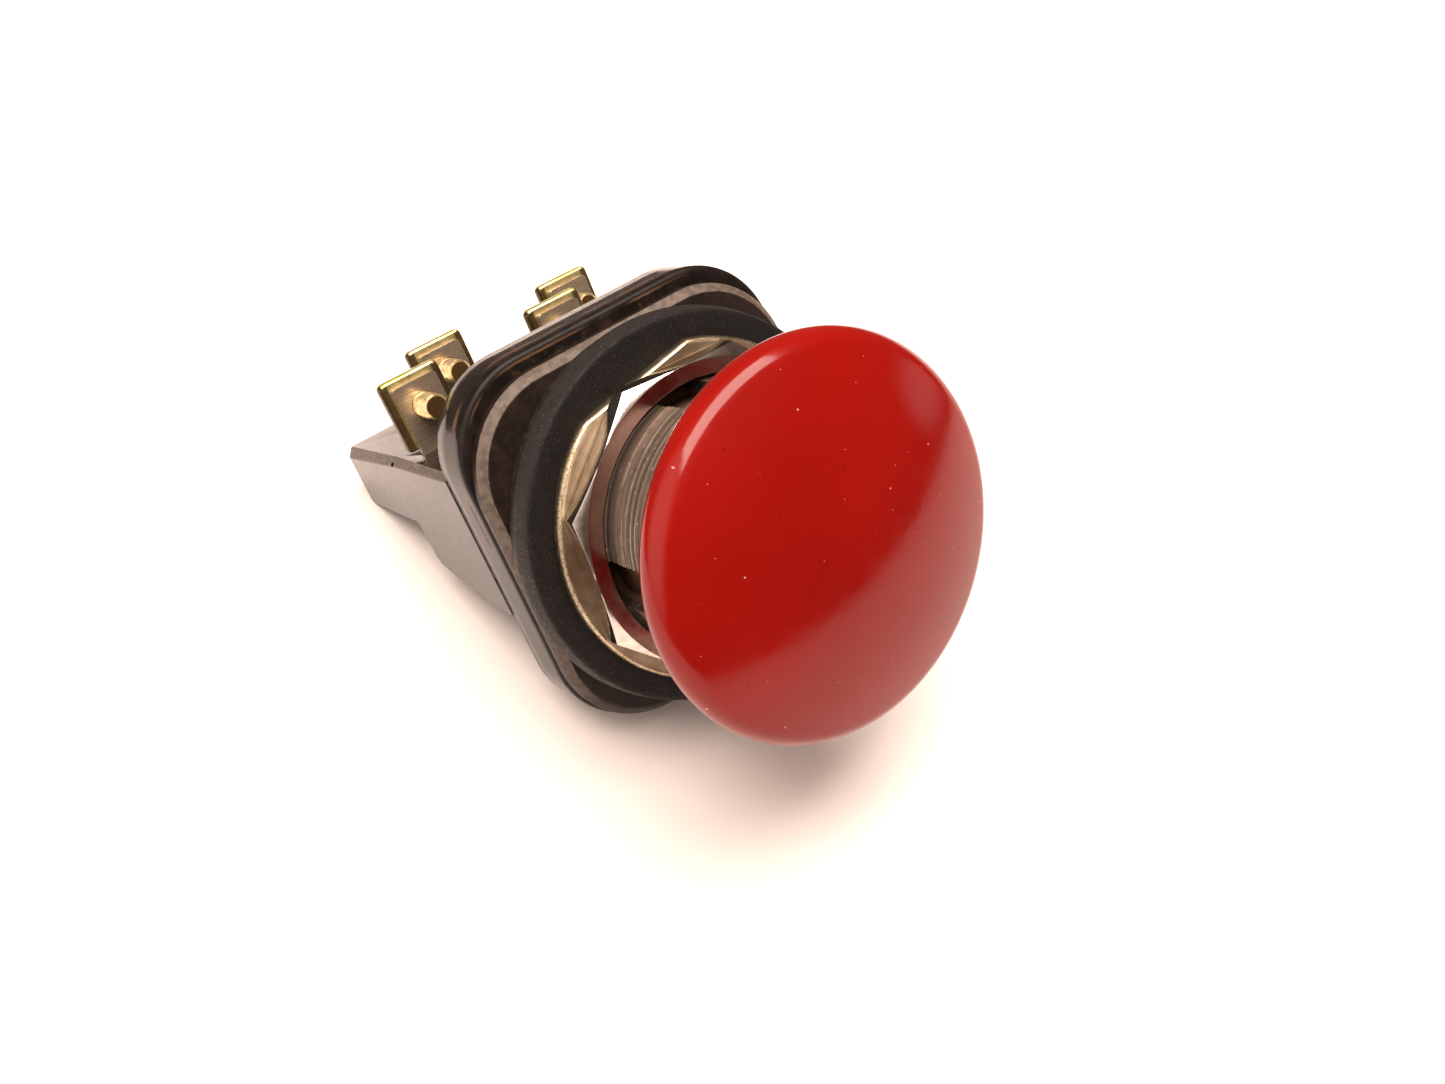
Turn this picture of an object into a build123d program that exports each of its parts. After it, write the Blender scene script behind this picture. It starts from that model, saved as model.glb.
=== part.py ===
from build123d import *
import os
from math import cos, sin, radians

os.makedirs("parts", exist_ok=True)

# Emergency stop push button, 30 mm-class heavy-duty panel operator with one contact block.
# Frame: origin on the bushing axis where the panel seats on the gasket.
# The head faces -Y, +Z is up, +X is to the right as seen from the front. Millimetres.

# ---- driving dimensions ----
STROKE = 4.5                # travel of the head along +Y

HEAD_R = 20.26              # mushroom head, at the rim
HEAD_RIM_Y = -20.37         # plane of the widest circle
HEAD_RIM_ROUND = 2.5
HEAD_DOME_R = 52.0
HEAD_HUB_R = 8.0
HEAD_HUB_Y = -13.0          # rear end of the hub

BUSH_R = 14.9               # threaded bushing, over the thread
BUSH_FRONT_Y = -12.4
BUSH_BORE_R = 10.95
KEYWAY_W = 5.6
KEYWAY_DEEP = 2.1
WEB_FRONT_Y = 3.9           # web that guides the stem
WEB_REAR_Y = 7.44

NUT_CORNER_R = 18.35        # octagonal ring nut, over corners
NUT_FACE_R = 16.88          # where the corner chamfer meets the front face
NUT_FRONT_Y = -4.06
NUT_REAR_Y = -1.36
NUT_CORNER_DEG = 108.3
WASHER_R = 18.87
WASHER_FLAT = 17.4          # axis to the flat
WASHER_FLAT_DEG = 99.3

GASKET_R1, GASKET_R2 = 21.7, 22.1
GASKET_REAR_Y = 2.72
SPACER_R = 21.3
FLANGE_FRONT_Y = 5.54
FLANGE_REAR_Y = 7.6
FLANGE_HX, FLANGE_HZ, FLANGE_CR = 20.86, 21.35, 11.2

BASE_HX, BASE_HZ, BASE_CR = 21.04, 22.28, 10.5
BASE_Z = 0.91                # the base stands above the flange at the top and is flush with it at the bottom
BASE_REAR_Y = 14.09
BASE_SCREW_Z = 17.5
CHAMBER_HX, CHAMBER_HZ = 14.5, 13.0

BLOCK_HX = 21.1
BLOCK_FRONT_Y = 14.12
BLOCK_REAR_Y = 51.0
# top of the body, where the cover sits, and top of the cover: (y, z) from front to rear
BLOCK_TOP = ((14.12, 13.10), (31.0, 12.75), (51.0, 11.50))
COVER_TOP = ((14.12, 13.90), (31.0, 13.75), (51.0, 12.90))
BLOCK_SCREW_X, BLOCK_SCREW_Z = 17.6, 8.4

STRIP_W, STRIP_T, STRIP_TOP_Z = 5.6, 1.0, 22.1       # tapped terminal strips
CLAMP_W, CLAMP_T, CLAMP_TOP_Z = 7.7, 1.5, 23.0       # clamp plates behind them
TERM_SCREW_Z = 19.0
SCREW_TIP = 3.7             # screw tip in front of the strip
FRONT_TERM_Y = 25.2         # front faces of the strips
REAR_TERM_Y = 35.7
FRONT_TERM_X = (-16.0, 4.2)
REAR_TERM_X = (-8.2, 11.4)
CONTACT_X = 8.5             # fixed contacts either side of the plunger
CONTACT_Z = 9.4


def at(y):
    """A sketch plane across the axis at y: local x is X, local y is Z, and extrude goes towards -Y."""
    return Plane.XZ.offset(-y)


# ================= moving with the head =================
with BuildPart() as head:
    with BuildSketch(Plane.XY):
        with BuildLine():
            half = 10.51
            dome_c = HEAD_RIM_Y - HEAD_RIM_ROUND * cos(radians(2 * half)) + HEAD_DOME_R * cos(radians(2 * half))
            apex = (0, dome_c - HEAD_DOME_R)
            dome_mid = (HEAD_DOME_R * sin(radians(half)), dome_c - HEAD_DOME_R * cos(radians(half)))
            dome_end = (HEAD_DOME_R * sin(radians(2 * half)), dome_c - HEAD_DOME_R * cos(radians(2 * half)))
            ThreePointArc(apex, dome_mid, dome_end)
            rim_rear = (HEAD_R - HEAD_RIM_ROUND, HEAD_RIM_Y + HEAD_RIM_ROUND)
            ThreePointArc(dome_end, (HEAD_R, HEAD_RIM_Y), rim_rear)
            Polyline(
                rim_rear,
                (16.9, rim_rear[1]),
                (16.3, -18.9),
                (9.4, -18.9),
                (HEAD_HUB_R, -17.6),
                (HEAD_HUB_R, HEAD_HUB_Y),
                (4.02, HEAD_HUB_Y),
                (4.02, -21.9),
                (0, -21.9),
                apex,
            )
        make_face()
    revolve(axis=Axis.Y)
head.part.label = "mushroom_head"

with BuildPart() as insert:
    with BuildSketch(at(HEAD_HUB_Y)):
        Circle(4.0)
        Circle(3.0, mode=Mode.SUBTRACT)
    extrude(amount=8.8)
    chamfer(insert.edges().filter_by(GeomType.CIRCLE).filter_by(lambda e: e.radius < 3.5).sort_by(Axis.Y)[-1], 0.3)
insert.part.label = "head_insert"

with BuildPart() as stem:
    with BuildSketch(at(-12.9)):
        Circle(2.98)
    extrude(amount=8.5)
    with BuildSketch(at(11.3)):
        Circle(4.0)
    extrude(amount=24.25)
    with BuildSketch(at(8.4)):
        Circle(4.5)
        Circle(3.2, mode=Mode.SUBTRACT)
    extrude(amount=0.9, mode=Mode.SUBTRACT)
    chamfer(stem.edges().filter_by(GeomType.CIRCLE).sort_by(Axis.Y)[-1], 0.5)
stem.part.label = "plunger_stem"

with BuildPart() as guide:
    with BuildSketch(at(-6.4)):
        Circle(10.9)
        Circle(4.02, mode=Mode.SUBTRACT)
    extrude(amount=5.2)
    with BuildSketch(at(-11.6)):
        Circle(8.3)
        Circle(4.02, mode=Mode.SUBTRACT)
    extrude(amount=1.35)
    with BuildSketch(at(-6.4)):
        Circle(9.2)
        Circle(5.4, mode=Mode.SUBTRACT)
    extrude(amount=1.9, mode=Mode.SUBTRACT)
guide.part.label = "plunger_guide"

with BuildPart() as clip:
    with BuildSketch(at(8.35)):
        Circle(6.2)
        Circle(3.25, mode=Mode.SUBTRACT)
        with Locations((0, -5)):
            Rectangle(4.4, 6, mode=Mode.SUBTRACT)
    extrude(amount=0.8)
clip.part.label = "retaining_ring"

with BuildPart() as actuator:
    with BuildSketch(at(11.0)):
        RectangleRounded(26.0, 23.0, 3.0)
        Circle(4.02, mode=Mode.SUBTRACT)
    extrude(amount=2.5)
    with BuildSketch(at(11.0)):
        with Locations((0, 9.4), (0, -9.4)):
            RectangleRounded(9.0, 3.6, 0.6)
    extrude(amount=0.4, mode=Mode.SUBTRACT)
    chamfer(actuator.faces().sort_by(Axis.Y)[0].outer_wire().edges(), 0.5)
actuator.part.label = "actuator_plate"

# ================= operator =================
with BuildPart() as housing:
    with BuildSketch(at(FLANGE_FRONT_Y)):
        Circle(BUSH_R)
    extrude(amount=FLANGE_FRONT_Y - BUSH_FRONT_Y)
    chamfer(housing.edges().filter_by(GeomType.CIRCLE).sort_by(Axis.Y)[0], 0.7)
    with BuildSketch(at(FLANGE_REAR_Y)):
        RectangleRounded(2 * FLANGE_HX, 2 * FLANGE_HZ, FLANGE_CR)
    extrude(amount=FLANGE_REAR_Y - FLANGE_FRONT_Y)
    chamfer(
        housing.faces().filter_by(Axis.Y).filter_by(lambda f: abs(f.center().Y - FLANGE_FRONT_Y) < 0.01)[0].outer_wire().edges(),
        0.86,
    )
    with BuildSketch(at(8.3)):
        Circle(16.0)
    extrude(amount=8.3 - FLANGE_REAR_Y)
    # rear recess for the retaining ring and actuator plate
    with BuildSketch(at(8.3)):
        Circle(7.6)
    extrude(amount=8.3 - WEB_REAR_Y, mode=Mode.SUBTRACT)
    # bore, stem hole in the web, seal seat
    with BuildSketch(at(WEB_FRONT_Y)):
        Circle(BUSH_BORE_R)
    extrude(amount=WEB_FRONT_Y - BUSH_FRONT_Y, mode=Mode.SUBTRACT)
    with BuildSketch(at(WEB_REAR_Y)):
        Circle(4.05)
    extrude(amount=WEB_REAR_Y - WEB_FRONT_Y, mode=Mode.SUBTRACT)
    with BuildSketch(at(-11.75)):
        Circle(12.3)
    extrude(amount=0.65, mode=Mode.SUBTRACT)
    # four keyways down the thread, open at the front
    with BuildSketch(at(-0.02)):
        with PolarLocations(BUSH_R - KEYWAY_DEEP / 2 + 0.5, 4):
            Rectangle(KEYWAY_DEEP + 1.0, KEYWAY_W)
    extrude(amount=12.6, mode=Mode.SUBTRACT)
    # tapped holes for the base screws
    with BuildSketch(at(FLANGE_REAR_Y)):
        with Locations((0, BASE_SCREW_Z), (0, -BASE_SCREW_Z)):
            Circle(1.5)
    extrude(amount=1.5, mode=Mode.SUBTRACT)
housing.part.label = "operator_housing"

with BuildPart() as nut:
    with BuildSketch(at(NUT_REAR_Y)):
        Polygon(
            *[
                (NUT_CORNER_R * cos(radians(NUT_CORNER_DEG + 45 * i)), NUT_CORNER_R * sin(radians(NUT_CORNER_DEG + 45 * i)))
                for i in range(8)
            ],
            align=None,
        )
    extrude(amount=NUT_REAR_Y - NUT_FRONT_Y)
    # corners turned down to a 30 degree cone at the front, bore with a countersink
    with BuildSketch(Plane.XY):
        Polygon(
            (15.02, NUT_REAR_Y),
            (15.02, -3.6),
            (15.3, NUT_FRONT_Y),
            (NUT_FACE_R, NUT_FRONT_Y),
            (20.0, NUT_FRONT_Y + (20.0 - NUT_FACE_R) * 0.5034),
            (20.0, NUT_REAR_Y),
            align=None,
        )
    revolve(axis=Axis.Y, mode=Mode.INTERSECT)
nut.part.label = "mounting_nut"

with BuildPart() as washer:
    with BuildSketch(at(0)):
        Circle(WASHER_R)
        Circle(15.05, mode=Mode.SUBTRACT)
        with Locations(
            Location(
                (
                    (WASHER_FLAT + 5) * cos(radians(WASHER_FLAT_DEG)),
                    (WASHER_FLAT + 5) * sin(radians(WASHER_FLAT_DEG)),
                ),
                WASHER_FLAT_DEG,
            )
        ):
            Rectangle(10, 40, mode=Mode.SUBTRACT)
    extrude(amount=-NUT_REAR_Y)
washer.part.label = "trim_washer"

with BuildPart() as gasket:
    with BuildSketch(Plane.XY):
        Polygon(
            (15.05, 0), (GASKET_R1 - 0.25, 0), (GASKET_R1, 0.25), (GASKET_R2, GASKET_REAR_Y - 0.1), (GASKET_R2 - 0.1, GASKET_REAR_Y), (15.05, GASKET_REAR_Y),
            align=None,
        )
    revolve(axis=Axis.Y)
gasket.part.label = "panel_gasket"

with BuildPart() as spacer:
    with BuildSketch(at(FLANGE_FRONT_Y)):
        Circle(SPACER_R)
        Circle(15.05, mode=Mode.SUBTRACT)
    extrude(amount=FLANGE_FRONT_Y - GASKET_REAR_Y)
spacer.part.label = "spacer_gasket"

with BuildPart() as seal:
    with BuildSketch(at(-11.78)):
        Circle(12.28)
        Circle(8.6, mode=Mode.SUBTRACT)
    extrude(amount=0.55)
    with BuildSketch(at(-12.33)):
        Circle(9.4)
        Circle(8.6, mode=Mode.SUBTRACT)
    extrude(amount=0.4)
seal.part.label = "shaft_seal"

with BuildPart() as spring:
    with BuildSketch(at(WEB_FRONT_Y - 0.02)):
        Circle(8.8)
        Circle(6.2, mode=Mode.SUBTRACT)
    extrude(amount=12.15)
spring.part.label = "return_spring"

with BuildPart() as base:
    with BuildSketch(at(BASE_REAR_Y)):
        with Locations((0, BASE_Z)):
            RectangleRounded(2 * BASE_HX, 2 * BASE_HZ, BASE_CR)
    extrude(amount=BASE_REAR_Y - FLANGE_REAR_Y)
    fillet(
        base.faces().filter_by(Axis.Y).sort_by(Axis.Y)[0].outer_wire().edges(),
        0.8,
    )
    with BuildSketch(at(8.32)):
        Circle(16.02)
    extrude(amount=8.32 - FLANGE_REAR_Y, mode=Mode.SUBTRACT)
    with BuildSketch(at(BASE_REAR_Y)):
        RectangleRounded(2 * CHAMBER_HX, 2 * CHAMBER_HZ, 3.5)
    extrude(amount=BASE_REAR_Y - 8.0, mode=Mode.SUBTRACT)
    # screw holes: two for the base itself, two rows for contact blocks
    with BuildSketch(at(BASE_REAR_Y)):
        with Locations((0, BASE_SCREW_Z), (0, -BASE_SCREW_Z)):
            Circle(1.65)
    extrude(amount=BASE_REAR_Y - FLANGE_REAR_Y, mode=Mode.SUBTRACT)
    with BuildSketch(at(BASE_REAR_Y)):
        with Locations((0, BASE_SCREW_Z), (0, -BASE_SCREW_Z)):
            Circle(3.0)
    extrude(amount=2.4, mode=Mode.SUBTRACT)
    with BuildSketch(at(BASE_REAR_Y)):
        with GridLocations(2 * BLOCK_SCREW_X, 2 * BLOCK_SCREW_Z, 2, 2):
            Circle(1.7)
    extrude(amount=5.0, mode=Mode.SUBTRACT)
base.part.label = "operator_base"

with BuildPart() as base_screws:
    with BuildSketch(at(11.7)):
        with Locations((0, BASE_SCREW_Z), (0, -BASE_SCREW_Z)):
            Circle(1.48)
    extrude(amount=5.5)
    with BuildSketch(at(13.9)):
        with Locations((0, BASE_SCREW_Z), (0, -BASE_SCREW_Z)):
            Circle(2.9)
    extrude(amount=2.2)
    with BuildSketch(at(13.9)):
        with Locations((0, BASE_SCREW_Z), (0, -BASE_SCREW_Z)):
            Rectangle(6.2, 0.9)
            Rectangle(0.9, 3.2)
    extrude(amount=1.0, mode=Mode.SUBTRACT)
base_screws.part.label = "base_screws"

# ================= contact block, fixed pieces =================
with BuildPart() as block:
    with BuildSketch(Plane.YZ):
        Polygon(
            (BLOCK_FRONT_Y, -4.5),
            (20.3, -4.2),
            (28.1, -2.7),
            (32.4, -1.4),
            (33.2, -0.4),
            (33.3, 4.3),
            (33.8, 4.6),
            (BLOCK_REAR_Y - 0.5, 4.6),
            (BLOCK_REAR_Y, 5.1),
            BLOCK_TOP[2],
            BLOCK_TOP[1],
            BLOCK_TOP[0],
            align=None,
        )
    extrude(amount=BLOCK_HX, both=True)
    # upper chamber for the contacts, lower chamber for the plunger's foot, both open to the cover side
    with BuildSketch(Plane.YZ):
        Polygon((18.2, 6.6), (47.2, 6.6), (47.2, 14.0), (18.2, 14.0), align=None)
        Polygon((18.2, -2.2), (29.6, -1.6), (29.6, 8.0), (18.2, 8.0), align=None)
    extrude(amount=14.2, both=True, mode=Mode.SUBTRACT)
    # recess in the front wall that the actuator plate enters, and the plunger hole
    with BuildSketch(at(15.8)):
        with Locations((0, 2.9)):
            Rectangle(26.6, 17.8)
    extrude(amount=2.5, mode=Mode.SUBTRACT)
    with BuildSketch(at(19.0)):
        with Locations((0, CONTACT_Z)):
            Rectangle(7.1, 4.1)
    extrude(amount=4.5, mode=Mode.SUBTRACT)
    # long screw holes with counterbores at the rear
    with BuildSketch(at(BLOCK_REAR_Y + 0.5)):
        with Locations((BLOCK_SCREW_X, BLOCK_SCREW_Z), (-BLOCK_SCREW_X, BLOCK_SCREW_Z)):
            Circle(1.75)
    extrude(amount=38.0, mode=Mode.SUBTRACT)
    with BuildSketch(at(BLOCK_REAR_Y + 0.5)):
        with Locations((BLOCK_SCREW_X, BLOCK_SCREW_Z), (-BLOCK_SCREW_X, BLOCK_SCREW_Z)):
            Circle(2.45)
    extrude(amount=2.9, mode=Mode.SUBTRACT)
block.part.label = "block_body"

with BuildPart() as cover:
    with BuildSketch(Plane.YZ):
        Polygon(
            (BLOCK_TOP[0][0], BLOCK_TOP[0][1] + 0.02),
            (BLOCK_TOP[1][0], BLOCK_TOP[1][1] + 0.02),
            (BLOCK_TOP[2][0], BLOCK_TOP[2][1] + 0.02),
            (BLOCK_REAR_Y, COVER_TOP[2][1] - 0.4),
            (BLOCK_REAR_Y - 0.4, COVER_TOP[2][1]),
            COVER_TOP[1],
            COVER_TOP[0],
            align=None,
        )
    extrude(amount=BLOCK_HX, both=True)
    with BuildSketch(Plane.XY.offset(11.0)):
        for x in FRONT_TERM_X:
            with Locations((x, FRONT_TERM_Y + STRIP_T / 2)):
                Rectangle(STRIP_W + 0.1, STRIP_T + 0.1)
        for x in REAR_TERM_X:
            with Locations((x, REAR_TERM_Y + STRIP_T / 2)):
                Rectangle(STRIP_W + 0.1, STRIP_T + 0.1)
    extrude(amount=4.0, mode=Mode.SUBTRACT)
cover.part.label = "block_cover"

with BuildPart() as block_screws:
    with BuildSketch(at(48.6)):
        with Locations((BLOCK_SCREW_X, BLOCK_SCREW_Z), (-BLOCK_SCREW_X, BLOCK_SCREW_Z)):
            Circle(1.68)
    extrude(amount=39.2)
    with BuildSketch(at(50.8)):
        with Locations((BLOCK_SCREW_X, BLOCK_SCREW_Z), (-BLOCK_SCREW_X, BLOCK_SCREW_Z)):
            Circle(2.4)
    extrude(amount=2.2)
    with BuildSketch(at(50.8)):
        with Locations((BLOCK_SCREW_X, BLOCK_SCREW_Z), (-BLOCK_SCREW_X, BLOCK_SCREW_Z)):
            Rectangle(6.0, 0.8)
    extrude(amount=1.0, mode=Mode.SUBTRACT)
block_screws.part.label = "block_screws"

# Terminal strips: a tapped tab outside, stepping sideways inside to the fixed contact.
# Front pair, closed at rest: contact faces look to the rear.
with BuildPart() as term_a1:
    with BuildSketch(at(FRONT_TERM_Y + STRIP_T)):
        with Locations((FRONT_TERM_X[0], (11.4 + STRIP_TOP_Z) / 2)):
            Rectangle(STRIP_W, STRIP_TOP_Z - 11.4)
        Polygon((-13.6, 12.4), (-13.6, 7.2), (-5.6, 7.2), (-5.6, 11.4), (-12.0, 11.4), (-13.2, 12.4), align=None)
        with Locations((-16.5, 12.0)):
            Rectangle(4.8, 1.8, mode=Mode.SUBTRACT)
        with Locations((FRONT_TERM_X[0], TERM_SCREW_Z)):
            Circle(1.57, mode=Mode.SUBTRACT)
    extrude(amount=STRIP_T)
term_a1.part.label = "front_terminal_left"

with BuildPart() as term_a2:
    with BuildSketch(at(FRONT_TERM_Y + STRIP_T)):
        with Locations((FRONT_TERM_X[1], (11.8 + STRIP_TOP_Z) / 2)):
            Rectangle(STRIP_W, STRIP_TOP_Z - 11.8)
        Polygon((5.6, 12.2), (5.6, 7.2), (12.0, 7.2), (12.0, 11.2), (7.0, 12.2), align=None)
        with Locations((FRONT_TERM_X[1], TERM_SCREW_Z)):
            Circle(1.57, mode=Mode.SUBTRACT)
    extrude(amount=STRIP_T)
term_a2.part.label = "front_terminal_right"

# Rear pair, open at rest: contact faces look to the front.
with BuildPart() as term_b1:
    with BuildSketch(at(REAR_TERM_Y + STRIP_T)):
        with Locations((REAR_TERM_X[0], (11.2 + STRIP_TOP_Z) / 2)):
            Rectangle(STRIP_W, STRIP_TOP_Z - 11.2)
        Polygon((-12.0, 7.2), (-5.6, 7.2), (-5.6, 11.4), (-12.0, 11.4), align=None)
        with Locations((REAR_TERM_X[0], TERM_SCREW_Z)):
            Circle(1.57, mode=Mode.SUBTRACT)
    extrude(amount=STRIP_T)
term_b1.part.label = "rear_terminal_left"

with BuildPart() as term_b2:
    with BuildSketch(at(REAR_TERM_Y + STRIP_T)):
        with Locations((REAR_TERM_X[1], (11.2 + STRIP_TOP_Z) / 2)):
            Rectangle(STRIP_W, STRIP_TOP_Z - 11.2)
        Polygon((5.6, 7.2), (13.6, 7.2), (13.6, 11.4), (5.6, 11.4), align=None)
        with Locations((REAR_TERM_X[1], TERM_SCREW_Z)):
            Circle(1.57, mode=Mode.SUBTRACT)
    extrude(amount=STRIP_T)
term_b2.part.label = "rear_terminal_right"

TERM_ALL = [(x, FRONT_TERM_Y) for x in FRONT_TERM_X] + [(x, REAR_TERM_Y) for x in REAR_TERM_X]
CLAMP_BOTTOM_Z = 14.4

with BuildPart() as clamps:
    for x, y in TERM_ALL:
        with BuildSketch(at(y + STRIP_T + 0.02 + CLAMP_T)):
            with Locations((x, (CLAMP_BOTTOM_Z + CLAMP_TOP_Z) / 2)):
                Rectangle(CLAMP_W, CLAMP_TOP_Z - CLAMP_BOTTOM_Z)
            with Locations((x, TERM_SCREW_Z)):
                Circle(1.8, mode=Mode.SUBTRACT)
        extrude(amount=CLAMP_T)
clamps.part.label = "terminal_clamps"

with BuildPart() as term_screws:
    for x, y in TERM_ALL:
        head_y = y + STRIP_T + 0.02 + CLAMP_T
        with BuildSketch(at(head_y)):
            with Locations((x, TERM_SCREW_Z)):
                Circle(1.55)
        extrude(amount=head_y - y + SCREW_TIP)
        with BuildSketch(at(head_y + 2.3)):
            with Locations((x, TERM_SCREW_Z)):
                Circle(3.2)
        extrude(amount=2.3)
        with BuildSketch(at(head_y + 2.3)):
            with Locations((x, TERM_SCREW_Z)):
                Rectangle(7.0, 0.9)
                Rectangle(0.9, 3.8)
        extrude(amount=1.0, mode=Mode.SUBTRACT)
term_screws.part.label = "terminal_screws"

NC_FACE_Y = FRONT_TERM_Y + STRIP_T                   # 26.2, rear face of the front pair
NO_FACE_Y = REAR_TERM_Y                              # 35.7, front face of the rear pair

with BuildPart() as fixed_tips:
    with BuildSketch(at(NC_FACE_Y + 0.7)):
        with Locations((-CONTACT_X, CONTACT_Z), (CONTACT_X, CONTACT_Z)):
            Circle(1.5)
    extrude(amount=0.7)
    with BuildSketch(at(NO_FACE_Y)):
        with Locations((-CONTACT_X, CONTACT_Z), (CONTACT_X, CONTACT_Z)):
            Circle(1.5)
    extrude(amount=0.7)
fixed_tips.part.label = "fixed_contact_tips"

# ================= contact block, moving pieces =================
NC_BAR_Y = NC_FACE_Y + 0.7 + 0.02 + 0.7              # 27.62, front face of the closed bridge
NO_BAR_Y = NO_FACE_Y - 0.7 - 0.03 - 2.7 - 1.5         # 30.77, front face of the open bridge at rest

with BuildPart() as carrier:
    with BuildSketch(at(18.4)):
        with Locations((0, CONTACT_Z)):
            Rectangle(7.0, 4.0)
    extrude(amount=7.3)
    with BuildSketch(at(21.6)):
        with Locations((0, 5.0)):
            RectangleRounded(10.0, 12.4, 0.8)
    extrude(amount=3.2)
    with BuildSketch(at(34.0)):
        with Locations((0, CONTACT_Z)):
            Rectangle(6.0, 4.0)
    extrude(amount=12.4)
    # windows that the two bridges pass through
    with BuildSketch(Plane.XY.offset(CONTACT_Z)):
        with Locations((0, NC_BAR_Y + 0.4)):
            Rectangle(8.0, 0.84)
        with Locations((0, (28.82 + 31.62) / 2)):
            Rectangle(8.0, 31.62 - 28.82)
    extrude(amount=1.25, both=True, mode=Mode.SUBTRACT)
carrier.part.label = "contact_plunger"

with BuildPart() as nc_bridge:
    with BuildSketch(at(NC_BAR_Y + 0.8)):
        with Locations((0, CONTACT_Z)):
            Rectangle(22.0, 2.4)
        with Locations((-CONTACT_X, CONTACT_Z), (CONTACT_X, CONTACT_Z)):
            RectangleRounded(5.0, 3.8, 0.8)
    extrude(amount=0.8)
nc_bridge.part.label = "closed_bridge"

with BuildPart() as nc_tips:
    with BuildSketch(at(NC_BAR_Y)):
        with Locations((-CONTACT_X, CONTACT_Z), (CONTACT_X, CONTACT_Z)):
            Circle(1.5)
    extrude(amount=0.7)
nc_tips.part.label = "closed_bridge_tips"

with BuildPart() as no_bridge:
    with BuildSketch(at(NO_BAR_Y + 0.8)):
        with Locations((0, CONTACT_Z)):
            Rectangle(22.0, 2.4)
        with Locations((-CONTACT_X, CONTACT_Z), (CONTACT_X, CONTACT_Z)):
            RectangleRounded(5.0, 3.8, 0.8)
    extrude(amount=0.8)
no_bridge.part.label = "open_bridge"

with BuildPart() as no_tips:
    with BuildSketch(at(NO_BAR_Y + 1.5)):
        with Locations((-CONTACT_X, CONTACT_Z), (CONTACT_X, CONTACT_Z)):
            Circle(1.5)
    extrude(amount=0.7)
no_tips.part.label = "open_bridge_tips"

with BuildPart() as no_spring:
    with BuildSketch(at(NO_BAR_Y - 0.02)):
        with Locations((0, CONTACT_Z)):
            Circle(1.2)
            Circle(0.7, mode=Mode.SUBTRACT)
    extrude(amount=NO_BAR_Y - 0.04 - 28.82)
no_spring.part.label = "bridge_spring"

with BuildPart() as contact_spring:
    with BuildSketch(at(47.18)):
        with Locations((0, 9.2)):
            Circle(1.9)
            Circle(1.3, mode=Mode.SUBTRACT)
    extrude(amount=47.18 - 34.02)
contact_spring.part.label = "contact_spring"

for node in (
    head, insert, stem, guide, clip, actuator, housing, nut, washer, gasket, spacer, seal, spring, base, base_screws,
    block, cover, block_screws, term_a1, term_a2, term_b1, term_b2, clamps, term_screws, fixed_tips,
    carrier, nc_bridge, nc_tips, no_bridge, no_tips, no_spring, contact_spring,
):
    export_step(node.part, "parts/" + node.part.label + ".step")
    print(node.part.label, round(node.part.volume, 1), node.part.is_valid, len(node.part.solids()))
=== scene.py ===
from math import asin, atan2, cos, floor, hypot, pi, radians, sin, sqrt, tan

import bmesh
import bpy
import numpy as np
from mathutils import Matrix, Vector, noise as mnoise


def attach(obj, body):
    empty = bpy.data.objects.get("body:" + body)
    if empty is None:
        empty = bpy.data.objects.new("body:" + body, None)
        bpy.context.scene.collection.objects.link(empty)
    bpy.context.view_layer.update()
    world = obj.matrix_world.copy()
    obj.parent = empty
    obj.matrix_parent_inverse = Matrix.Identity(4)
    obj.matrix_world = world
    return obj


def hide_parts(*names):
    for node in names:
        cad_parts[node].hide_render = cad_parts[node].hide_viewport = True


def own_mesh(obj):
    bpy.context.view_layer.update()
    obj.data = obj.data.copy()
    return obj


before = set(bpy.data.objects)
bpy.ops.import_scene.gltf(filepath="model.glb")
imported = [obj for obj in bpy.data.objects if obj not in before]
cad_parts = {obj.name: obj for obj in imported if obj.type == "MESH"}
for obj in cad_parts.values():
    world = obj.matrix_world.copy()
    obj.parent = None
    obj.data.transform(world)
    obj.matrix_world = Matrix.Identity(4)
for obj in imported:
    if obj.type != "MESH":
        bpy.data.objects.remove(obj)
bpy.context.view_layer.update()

MM = 0.001
scene = bpy.context.scene
scene.view_settings.view_transform = "Standard"
scene.view_settings.look = "None"


def lin(r, g, b):
    """sRGB 0-255 to linear."""
    out = []
    for c in (r, g, b):
        c = c / 255.0
        out.append(c / 12.92 if c <= 0.04045 else ((c + 0.055) / 1.055) ** 2.4)
    return tuple(out)


# ---------------------------------------------------------------- mesh tools
def finish_mesh(me, sharp=32.0):
    bm = bmesh.new()
    bm.from_mesh(me)
    bmesh.ops.remove_doubles(bm, verts=bm.verts, dist=1e-7)
    bmesh.ops.dissolve_degenerate(bm, dist=1e-7, edges=bm.edges)
    bmesh.ops.recalc_face_normals(bm, faces=bm.faces)
    bm.to_mesh(me)
    bm.free()
    me.shade_smooth()
    me.set_sharp_from_angle(angle=radians(sharp))
    me.update()


def add(name, me):
    ob = bpy.data.objects.new(name, me)
    scene.collection.objects.link(ob)
    return ob


def from_lists(name, verts, faces, sharp=32.0, attrs=None, mats=None):
    me = bpy.data.meshes.new(name)
    me.from_pydata([(v[0] * MM, v[1] * MM, v[2] * MM) for v in verts], [], faces)
    for key, values in (attrs or {}).items():
        a = me.attributes.new(key, "FLOAT", "POINT")
        a.data.foreach_set("value", np.array(values, np.float32))
    if mats is not None:
        me.polygons.foreach_set("material_index", np.array(mats, np.int32))
    finish_mesh(me, sharp)
    return add(name, me)


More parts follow.
